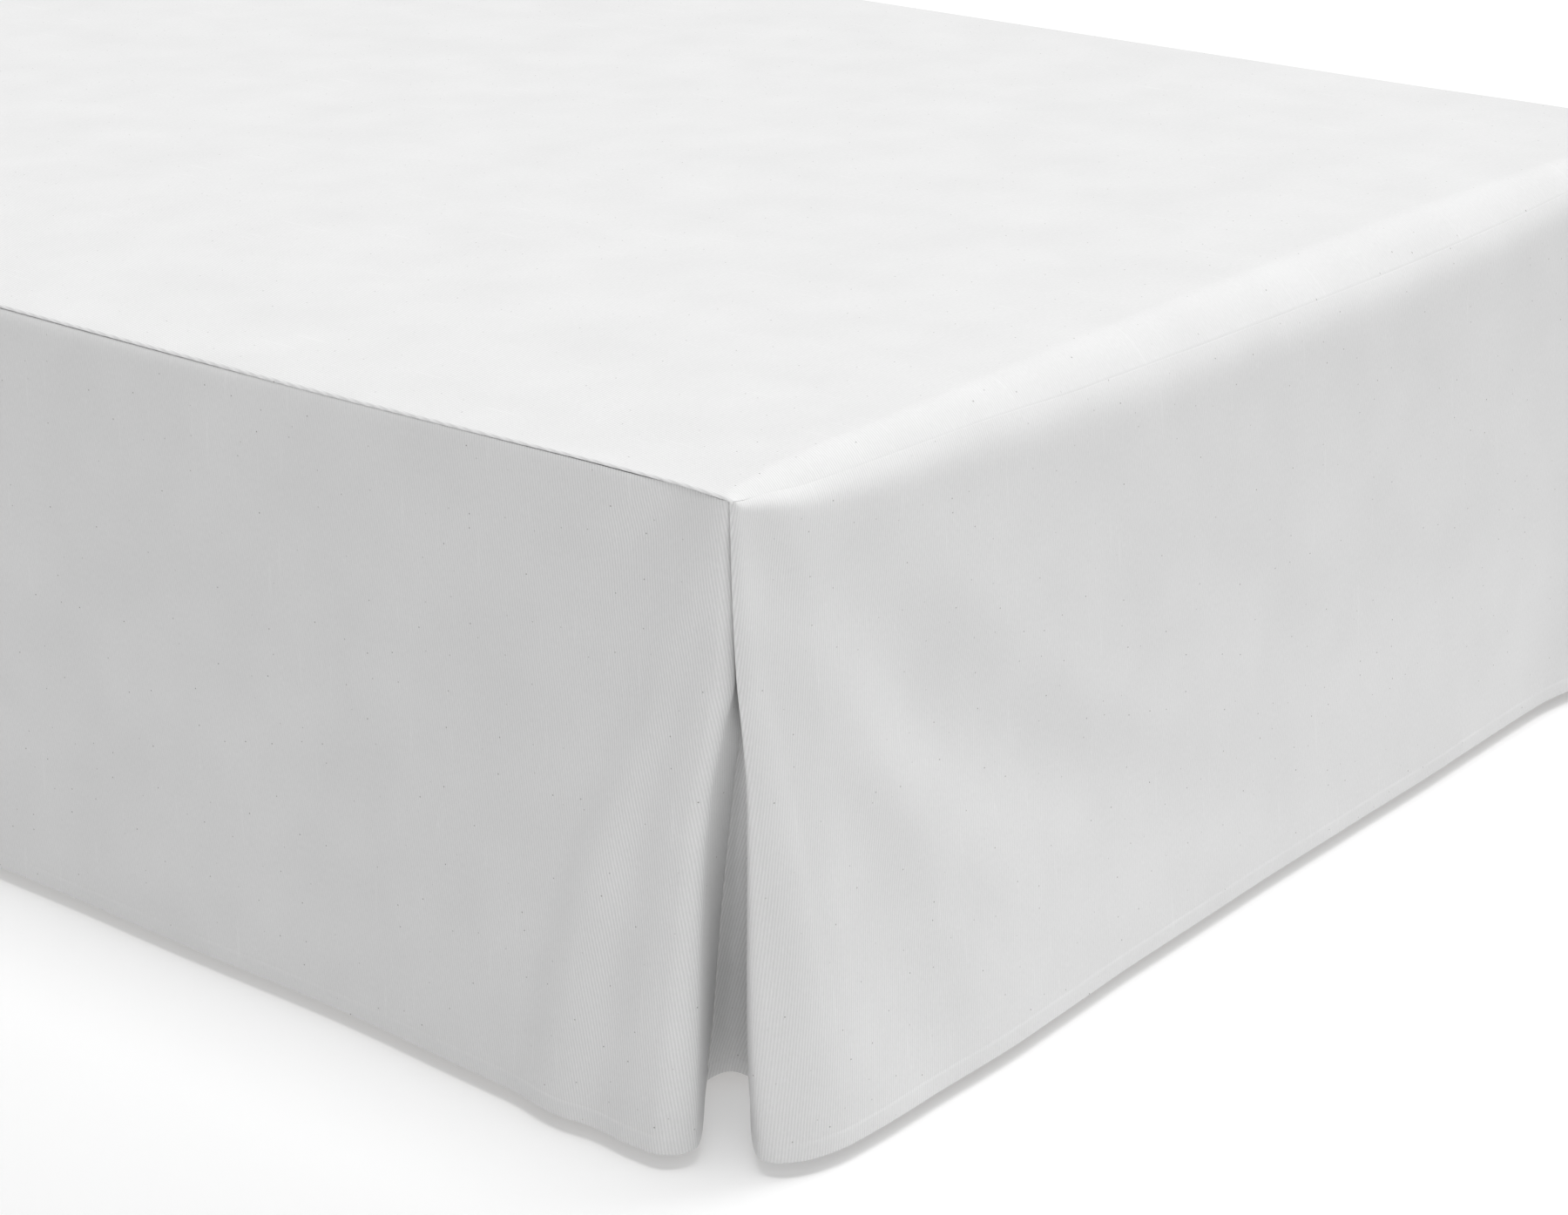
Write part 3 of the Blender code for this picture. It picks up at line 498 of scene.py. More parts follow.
def hem_relief(u, v):
    """The turned-up hem's step, its stitched line and the small puckers along it."""
    step = HEM_RAISE * eased((HEM_HEIGHT + HEM_STEP / 2 - v) / HEM_STEP)
    stitched = STITCH_DEPTH * bump_at(v, HEM_HEIGHT - STITCH_BELOW, STITCH_REACH)
    puckered = noise.noise(Vector((u / PUCKER_WIDE, v / PUCKER_TALL, HEM_LAYER)))
    return step - stitched + PUCKER * puckered * bump_at(v, HEM_HEIGHT, PUCKER_REACH)


def dimple_relief(dimples, u, v):
    relief = 0.0
    for along, above_hem, wide, tall, depth in dimples:
        reach = ((u - along) / (wide * MM)) ** 2 + ((v - above_hem * MM) / (tall * MM)) ** 2
        if reach < DIMPLE_ENDS:
            relief -= depth * MM * math.exp(-reach) * (1 - DIMPLE_RIM * reach)
    return relief


def drop_relief(dimples, layer):
    """A drop's relief, with those dimples and its own layer of the noise."""

    def relief(u, v):
        slow = noise.noise(Vector((u / RIPPLE_WIDE, v / RIPPLE_TALL, layer)))
        ripples = RIPPLE * slow * eased((DROP - v) / RIPPLE_FADES)
        return ripples + hem_relief(u, v) + dimple_relief(dimples, u, v)

    return relief


def deck_relief(u, v):
    """A laid sheet's faint waves, gone at its sewn edges."""
    edge = min(u, DECK_WIDTH - u, v - WAVE_STARTS)
    waves = noise.noise(Vector((u / WAVE_WIDE, v / WAVE_LONG, DECK_LAYER)))
    return WAVE * waves * eased(edge / WAVE_FADES)


# ---------------------------------------------------------------- materials


def linear(hex_colour):
    """An sRGB hex colour as linear RGBA."""
    parts = [int(hex_colour[k:k + 2], 16) / 255 for k in (1, 3, 5)]
    lit = [part / 12.92 if part <= 0.04045 else ((part + 0.055) / 1.055) ** 2.4 for part in parts]
    return (*lit, 1.0)


def plug(tree, node, inputs):
    """Fills a node's sockets, by name or number, with values or with other nodes' outputs."""
    for socket, value in inputs.items():
        if isinstance(value, bpy.types.NodeSocket):
            tree.links.new(value, node.inputs[socket])
        else:
            node.inputs[socket].default_value = value


def add(tree, kind, inputs=None, **settings):
    """Adds a node, with its settings and with what its sockets get."""
    made = tree.nodes.new(kind)
    for setting, value in settings.items():
        setattr(made, setting, value)
    plug(tree, made, inputs or {})
    return made


def new_material(name):
    material = bpy.data.materials.new(name)
    material.use_nodes = True
    tree = material.node_tree
    return material, tree, tree.nodes["Principled BSDF"]


RIB_PITCH = 1.7 * MM  # real drill's ribs are 1 mm apart. They are drawn wider, so that they show
RIB_LEAN = math.tan(math.radians(10))  # they lean towards the corner as they fall
RIB_STRAYS = 0.8 * MM  # how far they stray from a straight line
RIB_STRAY_SIZE = 28.57 * MM  # and over what length
RIBS_FADE = (0.06, 0.30)  # how far from the corner they stand out, in metres, in their relief and in their painted shade
RIBS_LEFT = 0.22  # the share of their strength that is left past that
RIB_PAINTED_SHADE = 0.065  # painted shade: how far the ribs' lit and shaded sides lighten and darken the cloth's colour
RIB_HEIGHT = 0.5  # how tall they are next to the threads
THREAD = 0.9 * MM  # the width of one
SLUB = 3.846 * MM
SLUB_LIGHT = 0.03  # how much a slub lightens the cloth
DRAWN_THREADS = (1.0, 0.30, 1.0)  # how much each axis counts, so that threads and slubs run downwards
DRAWN_SLUBS = (1.0, 0.07, 1.0)
WEAVE_DEPTH = 0.12 * MM
MOTTLE = 62.5 * MM
FLECK_CELL = 19 * MM  # the square in which at most one speck lies
FLECK_RADIUS = 0.52 * MM
FLECKS_KEPT = (0.35, 0.75)  # which share of the specks is left out, and how dark the darkest is


def white_drill():
    """Bleached cotton drill, woven: matt, faintly ribbed, with slubs and specks of seed husk, and the
    ribs' light and shade painted into its colour.
    """
    material, tree, shader = new_material("Bleached cotton drill, woven")
    cloth = add(tree, "ShaderNodeUVMap", uv_map="cloth").outputs["UV"]
    split = add(tree, "ShaderNodeSeparateXYZ", {0: cloth})
    u, v = split.outputs["X"], split.outputs["Y"]
    wander = add(tree, "ShaderNodeTexNoise", {
        "Vector": cloth, "Scale": 1 / RIB_STRAY_SIZE, "Detail": 1.0,
    }).outputs["Fac"]
    lean = add(tree, "ShaderNodeMath", {0: v, 1: -RIB_LEAN, 2: u}, operation="MULTIPLY_ADD").outputs[0]
    shifted = add(
        tree, "ShaderNodeMath", {0: wander, 1: RIB_STRAYS, 2: lean}, operation="MULTIPLY_ADD",
    ).outputs[0]
    turns = add(
        tree, "ShaderNodeMath", {0: shifted, 1: math.tau / RIB_PITCH}, operation="MULTIPLY",
    ).outputs[0]
    rib = add(tree, "ShaderNodeMath", {0: turns}, operation="SINE").outputs[0]
    away = add(tree, "ShaderNodeMath", {0: u}, operation="ABSOLUTE").outputs[0]
    showing = add(tree, "ShaderNodeMapRange", {
        "Value": away, "From Min": RIBS_FADE[0], "From Max": RIBS_FADE[1],
        "To Min": 1.0, "To Max": RIBS_LEFT,
    }).outputs[0]
    ribs = add(tree, "ShaderNodeMath", {0: rib, 1: showing}, operation="MULTIPLY").outputs[0]

    stretch = add(tree, "ShaderNodeMapping", {"Vector": cloth, "Scale": DRAWN_THREADS}).outputs[0]
    threads = add(tree, "ShaderNodeTexNoise", {
        "Vector": stretch, "Scale": 1 / THREAD, "Detail": 2.0, "Roughness": 0.6,
    }).outputs["Fac"]
    long_way = add(tree, "ShaderNodeMapping", {"Vector": cloth, "Scale": DRAWN_SLUBS}).outputs[0]
    slubs = add(tree, "ShaderNodeTexNoise", {
        "Vector": long_way, "Scale": 1 / SLUB, "Detail": 1.0,
    }).outputs["Fac"]
    slub = add(tree, "ShaderNodeMapRange", {
        "Value": slubs, "From Min": 0.66, "From Max": 0.78, "To Min": 0.0, "To Max": 1.0,
    }).outputs[0]
    mottle = add(tree, "ShaderNodeTexNoise", {
        "Vector": cloth, "Scale": 1 / MOTTLE, "Detail": 3.0,
    }).outputs["Fac"]

    cells = add(
        tree, "ShaderNodeTexVoronoi", {"Vector": cloth, "Scale": 1 / FLECK_CELL, "Randomness": 1.0},
        voronoi_dimensions="2D",
    )
    speck = add(tree, "ShaderNodeMapRange", {
        "Value": cells.outputs["Distance"], "From Min": 0.4 * FLECK_RADIUS / FLECK_CELL,
        "From Max": FLECK_RADIUS / FLECK_CELL, "To Min": 1.0, "To Max": 0.0,
    }).outputs[0]
    drawn = add(tree, "ShaderNodeSeparateColor", {0: cells.outputs["Color"]}).outputs[0]
    kept = add(tree, "ShaderNodeMapRange", {
        "Value": drawn, "From Min": FLECKS_KEPT[0], "From Max": 1.0,
        "To Min": 0.0, "To Max": FLECKS_KEPT[1],
    }).outputs[0]
    fleck = add(tree, "ShaderNodeMath", {0: speck, 1: kept}, operation="MULTIPLY").outputs[0]

    tone = add(tree, "ShaderNodeMapRange", {
        "Value": mottle, "From Min": 0.3, "From Max": 0.7, "To Min": 0.0, "To Max": 1.0,
    }).outputs[0]
    ground = add(tree, "ShaderNodeMix", {
        "Factor": tone, "A": linear("#e0e0e0"), "B": linear("#e4e4e4"),
    }, data_type="RGBA").outputs["Result"]
    shade = add(tree, "ShaderNodeMapRange", {
        "Value": threads, "From Min": 0.25, "From Max": 0.75, "To Min": 0.965, "To Max": 1.03,
    }).outputs[0]
    # Painted shade: the ribs' lit and shaded sides lighten and darken the colour, most near the corner.
    rib_painted_shade = add(
        tree, "ShaderNodeMath", {0: ribs, 1: RIB_PAINTED_SHADE, 2: shade}, operation="MULTIPLY_ADD",
    ).outputs[0]
    bright = add(
        tree, "ShaderNodeMath", {0: slub, 1: SLUB_LIGHT, 2: rib_painted_shade}, operation="MULTIPLY_ADD",
    ).outputs[0]
    shaded = add(tree, "ShaderNodeMix", {
        "Factor": 1.0, "A": ground, "B": bright,
    }, data_type="RGBA", blend_type="MULTIPLY").outputs["Result"]
    colour = add(tree, "ShaderNodeMix", {
        "Factor": fleck, "A": shaded, "B": linear("#5c5650"),
    }, data_type="RGBA").outputs["Result"]

    height = add(
        tree, "ShaderNodeMath", {0: ribs, 1: RIB_HEIGHT, 2: threads}, operation="MULTIPLY_ADD",
    ).outputs[0]
    bump = add(tree, "ShaderNodeBump", {"Strength": 0.6, "Distance": WEAVE_DEPTH, "Height": height})
    plug(tree, shader, {
        "Base Color": colour, "Normal": bump.outputs["Normal"], "Roughness": 0.92,
        "Specular IOR Level": 0.25, "Sheen Weight": 0.08, "Sheen Roughness": 0.5,
    })
    return material


TICKING_THREAD = 2.381 * MM
TICKING_CLOUD = 166.7 * MM
TICKING_DEPTH = 0.2 * MM


def grey_ticking():
    """Grey cotton ticking, tightly woven: matt, with a fine even grain."""
    material, tree, shader = new_material("Grey ticking, woven")
    place = add(tree, "ShaderNodeTexCoord").outputs["Object"]
    threads = add(tree, "ShaderNodeTexNoise", {
        "Vector": place, "Scale": 1 / TICKING_THREAD, "Detail": 2.0,
    }).outputs["Fac"]
    cloudy = add(tree, "ShaderNodeTexNoise", {
        "Vector": place, "Scale": 1 / TICKING_CLOUD, "Detail": 2.0,
    }).outputs["Fac"]
    ground = add(tree, "ShaderNodeMix", {
        "Factor": cloudy, "A": linear("#c3c0bb"), "B": linear("#cdcac5"),
    }, data_type="RGBA").outputs["Result"]
    colour = add(tree, "ShaderNodeMix", {
        "Factor": threads, "A": ground, "B": linear("#b3b0ab"),
    }, data_type="RGBA").outputs["Result"]
    bump = add(tree, "ShaderNodeBump", {"Strength": 0.5, "Distance": TICKING_DEPTH, "Height": threads})
    plug(tree, shader, {
        "Base Color": colour, "Normal": bump.outputs["Normal"], "Roughness": 0.9,
        "Specular IOR Level": 0.3,
    })
    return material


BEECH_GRAIN = 3.846 * MM
BEECH_RAY = 1.429 * MM
DRAWN_GRAIN = (1.0, 1.0, 0.06)  # how much each axis counts, so that grain and rays run up the leg
DRAWN_RAYS = (1.0, 1.0, 0.28)
BEECH_DEPTH = 0.1 * MM


def lacquered_beech():
    """Beech, turned and lacquered: pale and pinkish, straight-grained, with short dark ray flecks."""
    material, tree, shader = new_material("Beech, turned and lacquered")
    place = add(tree, "ShaderNodeTexCoord").outputs["Object"]
    along = add(tree, "ShaderNodeMapping", {"Vector": place, "Scale": DRAWN_GRAIN}).outputs[0]
    grain = add(tree, "ShaderNodeTexNoise", {
        "Vector": along, "Scale": 1 / BEECH_GRAIN, "Detail": 3.0,
    }).outputs["Fac"]
    short = add(tree, "ShaderNodeMapping", {"Vector": place, "Scale": DRAWN_RAYS}).outputs[0]
    rays = add(tree, "ShaderNodeTexNoise", {
        "Vector": short, "Scale": 1 / BEECH_RAY, "Detail": 0.0,
    }).outputs["Fac"]
    ray = add(tree, "ShaderNodeMapRange", {
        "Value": rays, "From Min": 0.66, "From Max": 0.76, "To Min": 0.0, "To Max": 0.55,
    }).outputs[0]
    ground = add(tree, "ShaderNodeMix", {
        "Factor": grain, "A": linear("#d9ad7c"), "B": linear("#c08a5a"),
    }, data_type="RGBA").outputs["Result"]
    colour = add(tree, "ShaderNodeMix", {
        "Factor": ray, "A": ground, "B": linear("#8f5f3c"),
    }, data_type="RGBA").outputs["Result"]
    bump = add(tree, "ShaderNodeBump", {"Strength": 0.15, "Distance": BEECH_DEPTH, "Height": grain})
    plug(tree, shader, {
        "Base Color": colour, "Normal": bump.outputs["Normal"], "Roughness": 0.38,
        "Coat Weight": 0.25, "Coat Roughness": 0.2,
    })
    return material


FLOOR_GLOW = 0.35  # how much of its light comes from below
FLOOR_CLOUD = 500 * MM


def matt_floor():
    """A white acrylic light table: matt, and lit a little from below, so its shadows stay light."""
    material, tree, shader = new_material("Studio light table, matt acrylic")
    place = add(tree, "ShaderNodeTexCoord").outputs["Object"]
    cloudy = add(tree, "ShaderNodeTexNoise", {
        "Vector": place, "Scale": 1 / FLOOR_CLOUD, "Detail": 2.0,
    }).outputs["Fac"]
    colour = add(tree, "ShaderNodeMix", {
        "Factor": cloudy, "A": linear("#cccccc"), "B": linear("#d0d0d0"),
    }, data_type="RGBA").outputs["Result"]
    plug(tree, shader, {
        "Base Color": colour, "Roughness": 0.95, "Specular IOR Level": 0.1,
        "Emission Color": linear("#ffffff"), "Emission Strength": FLOOR_GLOW,
    })
    return material


# ---------------------------------------------------------------- pieces


def finished(name, mesh, material, replaces):
    """Adds the piece to the scene, riding on the bed, in place of its plain solid."""
    mesh.shade_smooth()
    mesh.materials.append(material)
    piece = bpy.data.objects.new(name, mesh)
    bpy.context.scene.collection.objects.link(piece)
    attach(piece, "root")
    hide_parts(replaces)
    return piece


def cloth_piece(name, columns, rows, place, relief, outward, material):
    """A grid of columns x rows points. place(column, row) gives each point and its place on the flat
    cloth, relief(u, v) how far it then moves to the outside, and outward a direction that it faces."""
    grid = bmesh.new()
    bmesh.ops.create_grid(grid, x_segments=columns - 1, y_segments=rows - 1, size=0.5)
    flat_place = {}
    for vert in grid.verts:
        column = round((vert.co.x + 0.5) * (columns - 1))
        row = round((vert.co.y + 0.5) * (rows - 1))
        vert.co, flat_place[vert] = place(column, row)
    grid.normal_update()
    facing = sum((face.normal.dot(outward) * face.calc_area() for face in grid.faces), 0.0)
    if facing < 0:
        bmesh.ops.reverse_faces(grid, faces=grid.faces)
        grid.normal_update()
    normals = {vert: vert.normal.copy() for vert in grid.verts}
    for vert, normal in normals.items():
        vert.co += normal * relief(*flat_place[vert])
    flat = grid.loops.layers.uv.new("cloth")
    for face in grid.faces:
        for loop in face.loops:
            loop[flat].uv = flat_place[loop.vert]
    mesh = bpy.data.meshes.new(name)
    grid.to_mesh(mesh)
    grid.free()
    piece = finished(name, mesh, material, name.removesuffix("_cloth"))
    thickness = piece.modifiers.new("Cloth thickness", "SOLIDIFY")
    thickness.thickness = CLOTH
    thickness.offset = 0.0
    thickness.use_even_offset = True
    soft_rim = piece.modifiers.new("Soft rim", "BEVEL")
    soft_rim.width = RIM_SOFTNESS
    soft_rim.segments = 2
    soft_rim.limit_method = "ANGLE"
    soft_rim.angle_limit = RIM_ANGLE
    return piece


def side_drop(name, corner, dimples, material):
    """A long side's drop, with its flap and its return at the foot's end."""
    rim = DECK_EDGE_DROP + SEAM_STEP
    groove = corner.seam["groove"]
    flap_start = rim + groove(0.0)
    shares = [(flap_start + drop_row(row, flap_start)) / DROP for row in range(DROP_ROWS)]
    runs_from = [flap_point(corner, "side", FLAP_COLUMNS, below)[1] for below in shares]
    lengths = [flap_lengths(corner, "side", below) for below in shares]

    def place(column, row):
        if column <= FLAP_COLUMNS:
            below = shares[row]
            along_foot, along_side = flap_point(corner, "side", column, below)
            z = DECK_MID_Z - below * DROP
            z -= corner.deck_drop(max(HALF_CLOTH, along_foot), along_side) * (1 - below)
            u = runs_from[row] - lengths[row][column]
            return corner.to_world(along_foot, along_side, z), (u, flat_height(below))
        first = flap_point(corner, "side", FLAP_COLUMNS, 0.0)[1]
        share = SIDE_PLACES[column - FLAP_COLUMNS] / DECK_LENGTH
        start = rim + groove(between((first, DECK_LENGTH), share))
        fallen = drop_row(row, start)
        below = (start + fallen) / DROP
        first = flap_point(corner, "side", FLAP_COLUMNS, below)[1]
        along = between((first, DECK_LENGTH), share)
        bulged = 1 - math.exp(-fallen / corner.seam["fade"](along))
        bulge = corner.seam["bulge"](along) * bulged * (1 - below)
        out = hangs_out(corner.run, along, below) + fold_rise(corner.folds, along, below) + bulge
        out -= SEAM_SET_IN * (1 - bulged)
        z = DECK_MID_Z - start - fallen - corner.deck_drop(HALF_CLOTH, along) * (1 - below)
        return corner.to_world(-out, along, z), (along, flat_height(below))

    outward = Vector((corner.x_sign, 0, 0))
    return cloth_piece(
        name, FLAP_COLUMNS + SIDE_COLUMNS + 1, DROP_ROWS, place,
        drop_relief(dimples, SIDE_LAYER + corner.x_sign), outward, material,
    )


def foot_drop(name, material):
    """The foot's drop, with a flap and a return at each end."""
    columns = 2 * FLAP_COLUMNS + FOOT_COLUMNS + 1
    lengths, runs_from = {}, {}
    for corner in (left, right):
        shares = [foot_profile(corner.foot_along(0.0), row)[0] for row in range(DROP_ROWS)]
        lengths[corner] = [flap_lengths(corner, "foot", below) for below in shares]
        runs_from[corner] = [flap_point(corner, "foot", FLAP_COLUMNS, below)[0] for below in shares]

    def place(column, row):
        corner, from_end = (left, column) if column < columns / 2 else (right, columns - 1 - column)
        if from_end > FLAP_COLUMNS:
            along, below, inset, hang, z = foot_run_place(column - FLAP_COLUMNS, row)
            out = hangs_out(foot_run, along, below) + fold_rise(FOOT_FOLDS, along, below)
            out = (out + HALF_CLOTH) * hang - HALF_CLOTH
            return left.to_world(along, inset - out, z), (along, flat_height(below))
        below, _, _, z = foot_profile(corner.foot_along(0.0), row)
        along_foot, along_side = flap_point(corner, "foot", from_end, below)
        u = runs_from[corner][row] - lengths[corner][row][from_end]
        if from_end <= RETURN_COLUMNS:
            seam_down = foot_edge["seam_down"](corner.foot_along(0.0))
            under_roll = corner.deck_drop(along_foot, along_side - CLOTH) - seam_down
            z -= max(0.0, under_roll) * (1 - below)
        else:
            below, inset, _, z = foot_profile(corner.foot_along(along_foot), row)
            along_foot, along_side = flap_point(corner, "foot", from_end, below)
            along_side += inset * math.sin(math.pi / 2 * (from_end - RETURN_COLUMNS) / CURVE_COLUMNS)
        return corner.to_world(along_foot, along_side, z), (corner.foot_along(u), flat_height(below))

    relief = drop_relief(FOOT_DIMPLES, FOOT_LAYER)
    return cloth_piece(name, columns, DROP_ROWS, place, relief, Vector((0, -1, 0)), material)


def pleat_insert(name, corner, material):
    """The narrow inner panel between the two returns, bowed a little inwards."""
    start_down = SEAM_STEP + DECK_EDGE_DROP

    def place(column, row):
        fallen = drop_row(row, start_down)
        below = (start_down + fallen) / DROP
        z = DECK_MID_Z - start_down - fallen
        foot_back, side_back = corner.point("back_foot", below), corner.point("back_side", below)
        wide = math.hypot(foot_back[0] - side_back[0], foot_back[1] - side_back[1])
        trim = INSERT_END_GAP / wide
        share = between((trim, 1 - trim), column / (INSERT_COLUMNS - 1))
        bow = INSERT_BOW * below * math.sin(math.pi * share)
        along_foot = between((side_back[0], foot_back[0]), share) + bow * math.cos(corner.axis)
        along_side = between((side_back[1], foot_back[1]), share) + bow * math.sin(corner.axis)
        z -= corner.deck_drop(along_foot, along_side) * (1 - below)
        return corner.to_world(along_foot, along_side, z), (wide * share, flat_height(below))

    outward = Vector((corner.x_sign * math.cos(corner.axis), -math.sin(corner.axis), 0))
    return cloth_piece(name, INSERT_COLUMNS, DROP_ROWS, place, hem_relief, outward, material)


def deck(name, material):
    """The flat platform. Along the foot its edge follows the roll as far as the seam, and along the
    sides it turns down into the seam."""
    run = [foot_run_place(column, 0)[0] for column in range(FOOT_COLUMNS + 1)]
    clear = DECK_EDGE_PLACES[-1] * EDGE_SPACING
    inner = [along for along in run if clear < along < DECK_WIDTH - clear]
    places = [*DECK_EDGE_PLACES, *inner, *(DECK_WIDTH - at for at in reversed(DECK_EDGE_PLACES))]
    beyond = spread(DECK_STRETCHES, 1.0)[1:]

    def place(column, row):
        along = places[column]
        starts, seam_in = foot_edge["roll_starts"](along), foot_edge["seam_in"](along)
        inset = HALF_CLOTH * min(1.0, seam_in / ROLLED_FROM)
        if row <= ROLL_ROWS:
            share = 1 - row / ROLL_ROWS
            along_side = between((starts + FLAT_LEAD, seam_in), share) + inset
        else:
            along_side = between((starts + FLAT_LEAD + inset, DECK_LENGTH), beyond[row - ROLL_ROWS - 1])
        near, along_near = (left, along) if along < SIDE_X else (right, DECK_WIDTH - along)
        turned = max(0.0, 1 - along_near / DECK_EDGE_ROUND)
        down = near.deck_drop(along_near, along_side) + DECK_EDGE_DROP * turned**2
        return left.to_world(along, along_side, DECK_MID_Z - down), (along, along_side)

    rows = ROLL_ROWS + 1 + len(beyond)
    return cloth_piece(name, len(places), rows, place, deck_relief, Vector((0, 0, 1)), material)


# How the base's edges are rounded: the radius, and the steps round it.
BASE_CORNERS = (50 * MM, 16)
BASE_TOP_RIM = (40 * MM, 12)
BASE_UNDER_RIM = (10 * MM, 6)


def bed_base(material):
    """The covered base: a box with round corners and soft rims."""
    size = base_high - base_low
    half = size.z / 2
    box = bmesh.new()
    bmesh.ops.create_cube(box, size=1.0)
    bmesh.ops.scale(box, vec=size, verts=box.verts)

    def soften(is_one, radius, steps):
        """Rounds the edges whose two ends' heights say that they are some of them."""
        edges = [edge for edge in box.edges if is_one(*(vert.co.z for vert in edge.verts))]
        bmesh.ops.bevel(
            box, geom=edges, offset=radius, offset_type="OFFSET", segments=steps,
            profile=0.5, affect="EDGES", material=-1,
        )

    soften(lambda z, other_z: z * other_z < 0, *BASE_CORNERS)
    soften(lambda z, other_z: min(z, other_z) > half - MM, *BASE_TOP_RIM)
    soften(lambda z, other_z: max(z, other_z) < MM - half, *BASE_UNDER_RIM)
    bmesh.ops.translate(box, vec=(base_low + base_high) / 2, verts=box.verts)
    mesh = bpy.data.meshes.new("bed_base_cover")
    box.to_mesh(mesh)
    box.free()
    finished("bed_base_cover", mesh, material, "bed_base")


LEG_STEPS = 48
LEG_TAPER = 0.7  # its foot's width as a share of its top's
LEG_SOFTNESS = 1.6 * MM  # how round its ends are
LEG_EASED = 0.3 * LEG_SOFTNESS  # how far in the middle of that rounding lies
LEG_SHARP_ANGLE = math.radians(50)
LEG_MERGE = 0.01 * MM  # points on its axis that lie closer than this become one


def leg(node, material):
    """One turned leg: a tapered column with softened ends."""
    low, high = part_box(node)
    centre = (low + high) / 2
    top_radius = (high.x - low.x) / 2
    foot_radius = top_radius * LEG_TAPER
    profile = (
        (0.0, low.z),
        (foot_radius - LEG_SOFTNESS, low.z),
        (foot_radius - LEG_EASED, low.z + LEG_EASED),
        (foot_radius, low.z + LEG_SOFTNESS),
        (top_radius, high.z - LEG_SOFTNESS),
        (top_radius - LEG_EASED, high.z - LEG_EASED),
        (top_radius - LEG_SOFTNESS, high.z),
        (0.0, high.z),
    )
    turned = bmesh.new()
    points = [turned.verts.new((centre.x + radius, centre.y, z)) for radius, z in profile]
    edges = [turned.edges.new(pair) for pair in zip(points, points[1:])]
    bmesh.ops.spin(
        turned, geom=[*points, *edges], cent=(centre.x, centre.y, 0), axis=(0, 0, 1),
        angle=math.tau, steps=LEG_STEPS, use_merge=True,
    )
    bmesh.ops.remove_doubles(turned, verts=turned.verts, dist=LEG_MERGE)
    bmesh.ops.recalc_face_normals(turned, faces=turned.faces)
    mesh = bpy.data.meshes.new(node + "_turned")
    turned.to_mesh(mesh)
    turned.free()
    finished(node + "_turned", mesh, material, node)
    mesh.set_sharp_from_angle(angle=LEG_SHARP_ANGLE)


# ---------------------------------------------------------------- camera, light and floor

# Where the photo's camera stood, in drops from the left foot corner at the hem's height.
VIEW_FROM = Vector((-3.54, -2.974, 2.566)) * DROP + Vector((-SIDE_X, FOOT_Y, HEM_Z))
VIEW_YAW = math.radians(50.82)  # from +Y towards +X
VIEW_PITCH = math.radians(20.41)  # below the horizontal
LENS = 84.0
SENSOR = 36.0
FAR_END = 60.0  # how far the camera sees


def camera():
    """The photo's view."""
    level = math.cos(VIEW_PITCH)
    ahead = Vector((math.sin(VIEW_YAW) * level, math.cos(VIEW_YAW) * level, -math.sin(VIEW_PITCH)))
    across = Vector((math.cos(VIEW_YAW), -math.sin(VIEW_YAW), 0))
    up = across.cross(ahead)
    lens = bpy.data.cameras.new("Photo view")
    lens.lens = LENS
    lens.sensor_width = SENSOR
    lens.clip_end = FAR_END
    seen_from = bpy.data.objects.new("Photo view", lens)
    bpy.context.scene.collection.objects.link(seen_from)
    turn = Matrix((across, up, -ahead)).transposed().to_4x4()
    turn.translation = VIEW_FROM
    seen_from.matrix_world = turn
    bpy.context.scene.camera = seen_from


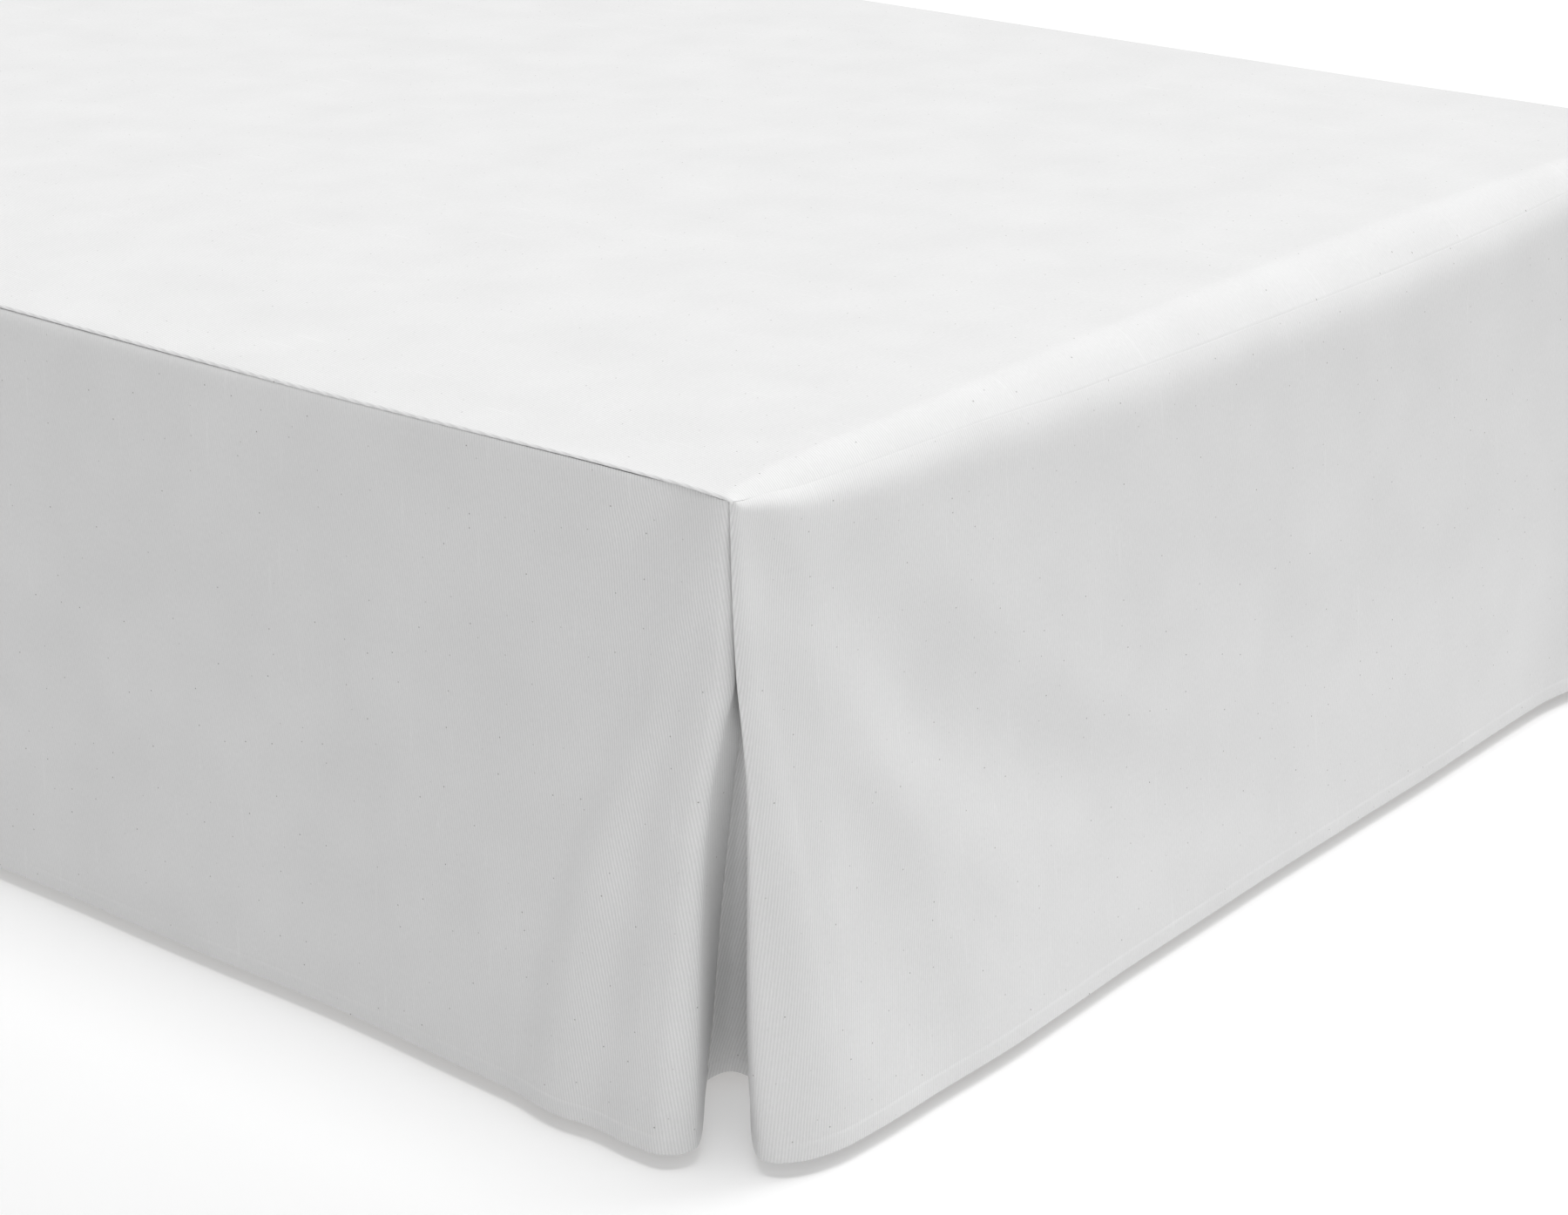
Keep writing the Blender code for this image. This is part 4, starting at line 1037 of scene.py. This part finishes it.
SKY = (0.16, 0.05)  # the soft light from the studio's pale walls, and from over them
SKY_FADES_TO = 0.64  # the height, as a direction's z, above which the light is the lower one
LIGHTS = (  # name, where it comes from, strength, width in degrees
    ("Overhead softbox", (0.0, 0.0, 1.0), 2.04, 35.0),
    ("Right softbox", (0.780, -0.190, 0.550), 1.60, 40.0),
    ("Front softbox", (-0.600, -0.500, 0.620), 0.79, 40.0),
)
FLOOR_SIZE = 14.0


def studio():
    """Pale walls, three softboxes and a light table to stand on."""
    world = bpy.data.worlds.new("Studio")
    world.use_nodes = True
    tree = world.node_tree
    direction = add(tree, "ShaderNodeTexCoord").outputs["Generated"]
    height = add(tree, "ShaderNodeSeparateXYZ", {0: direction}).outputs["Z"]
    strength = add(tree, "ShaderNodeMapRange", {
        "Value": height, "From Min": 0.0, "From Max": SKY_FADES_TO, "To Min": SKY[0], "To Max": SKY[1],
    }, interpolation_type="SMOOTHSTEP").outputs[0]
    plug(tree, tree.nodes["Background"], {"Color": linear("#ffffff"), "Strength": strength})
    bpy.context.scene.world = world
    for name, comes_from, strength_here, width in LIGHTS:
        light = bpy.data.lights.new(name, "SUN")
        light.energy = strength_here
        light.angle = math.radians(width)
        hung = bpy.data.objects.new(name, light)
        hung.rotation_euler = Vector(comes_from).to_track_quat("Z", "Y").to_euler()
        bpy.context.scene.collection.objects.link(hung)

    slab = bmesh.new()
    bmesh.ops.create_grid(slab, x_segments=1, y_segments=1, size=FLOOR_SIZE / 2)
    mesh = bpy.data.meshes.new("studio_floor")
    slab.to_mesh(mesh)
    slab.free()
    mesh.materials.append(matt_floor())
    floor = bpy.data.objects.new("studio_floor", mesh)
    bpy.context.scene.collection.objects.link(floor)
    bpy.context.scene.view_settings.view_transform = "Standard"


# ---------------------------------------------------------------- the whole thing

camera()
studio()
drill = white_drill()
ticking = grey_ticking()
beech = lacquered_beech()

bed_base(ticking)
for node in sorted(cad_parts):
    if node.startswith("leg_"):
        leg(node, beech)

deck_cloth = deck("deck_cloth", drill)
left_cloth = side_drop("side_drop_left_cloth", left, LEFT_DIMPLES, drill)
right_cloth = side_drop("side_drop_right_cloth", right, (), drill)
foot_cloth = foot_drop("foot_drop_cloth", drill)
left_insert = pleat_insert("pleat_insert_left_cloth", left, drill)
right_insert = pleat_insert("pleat_insert_right_cloth", right, drill)
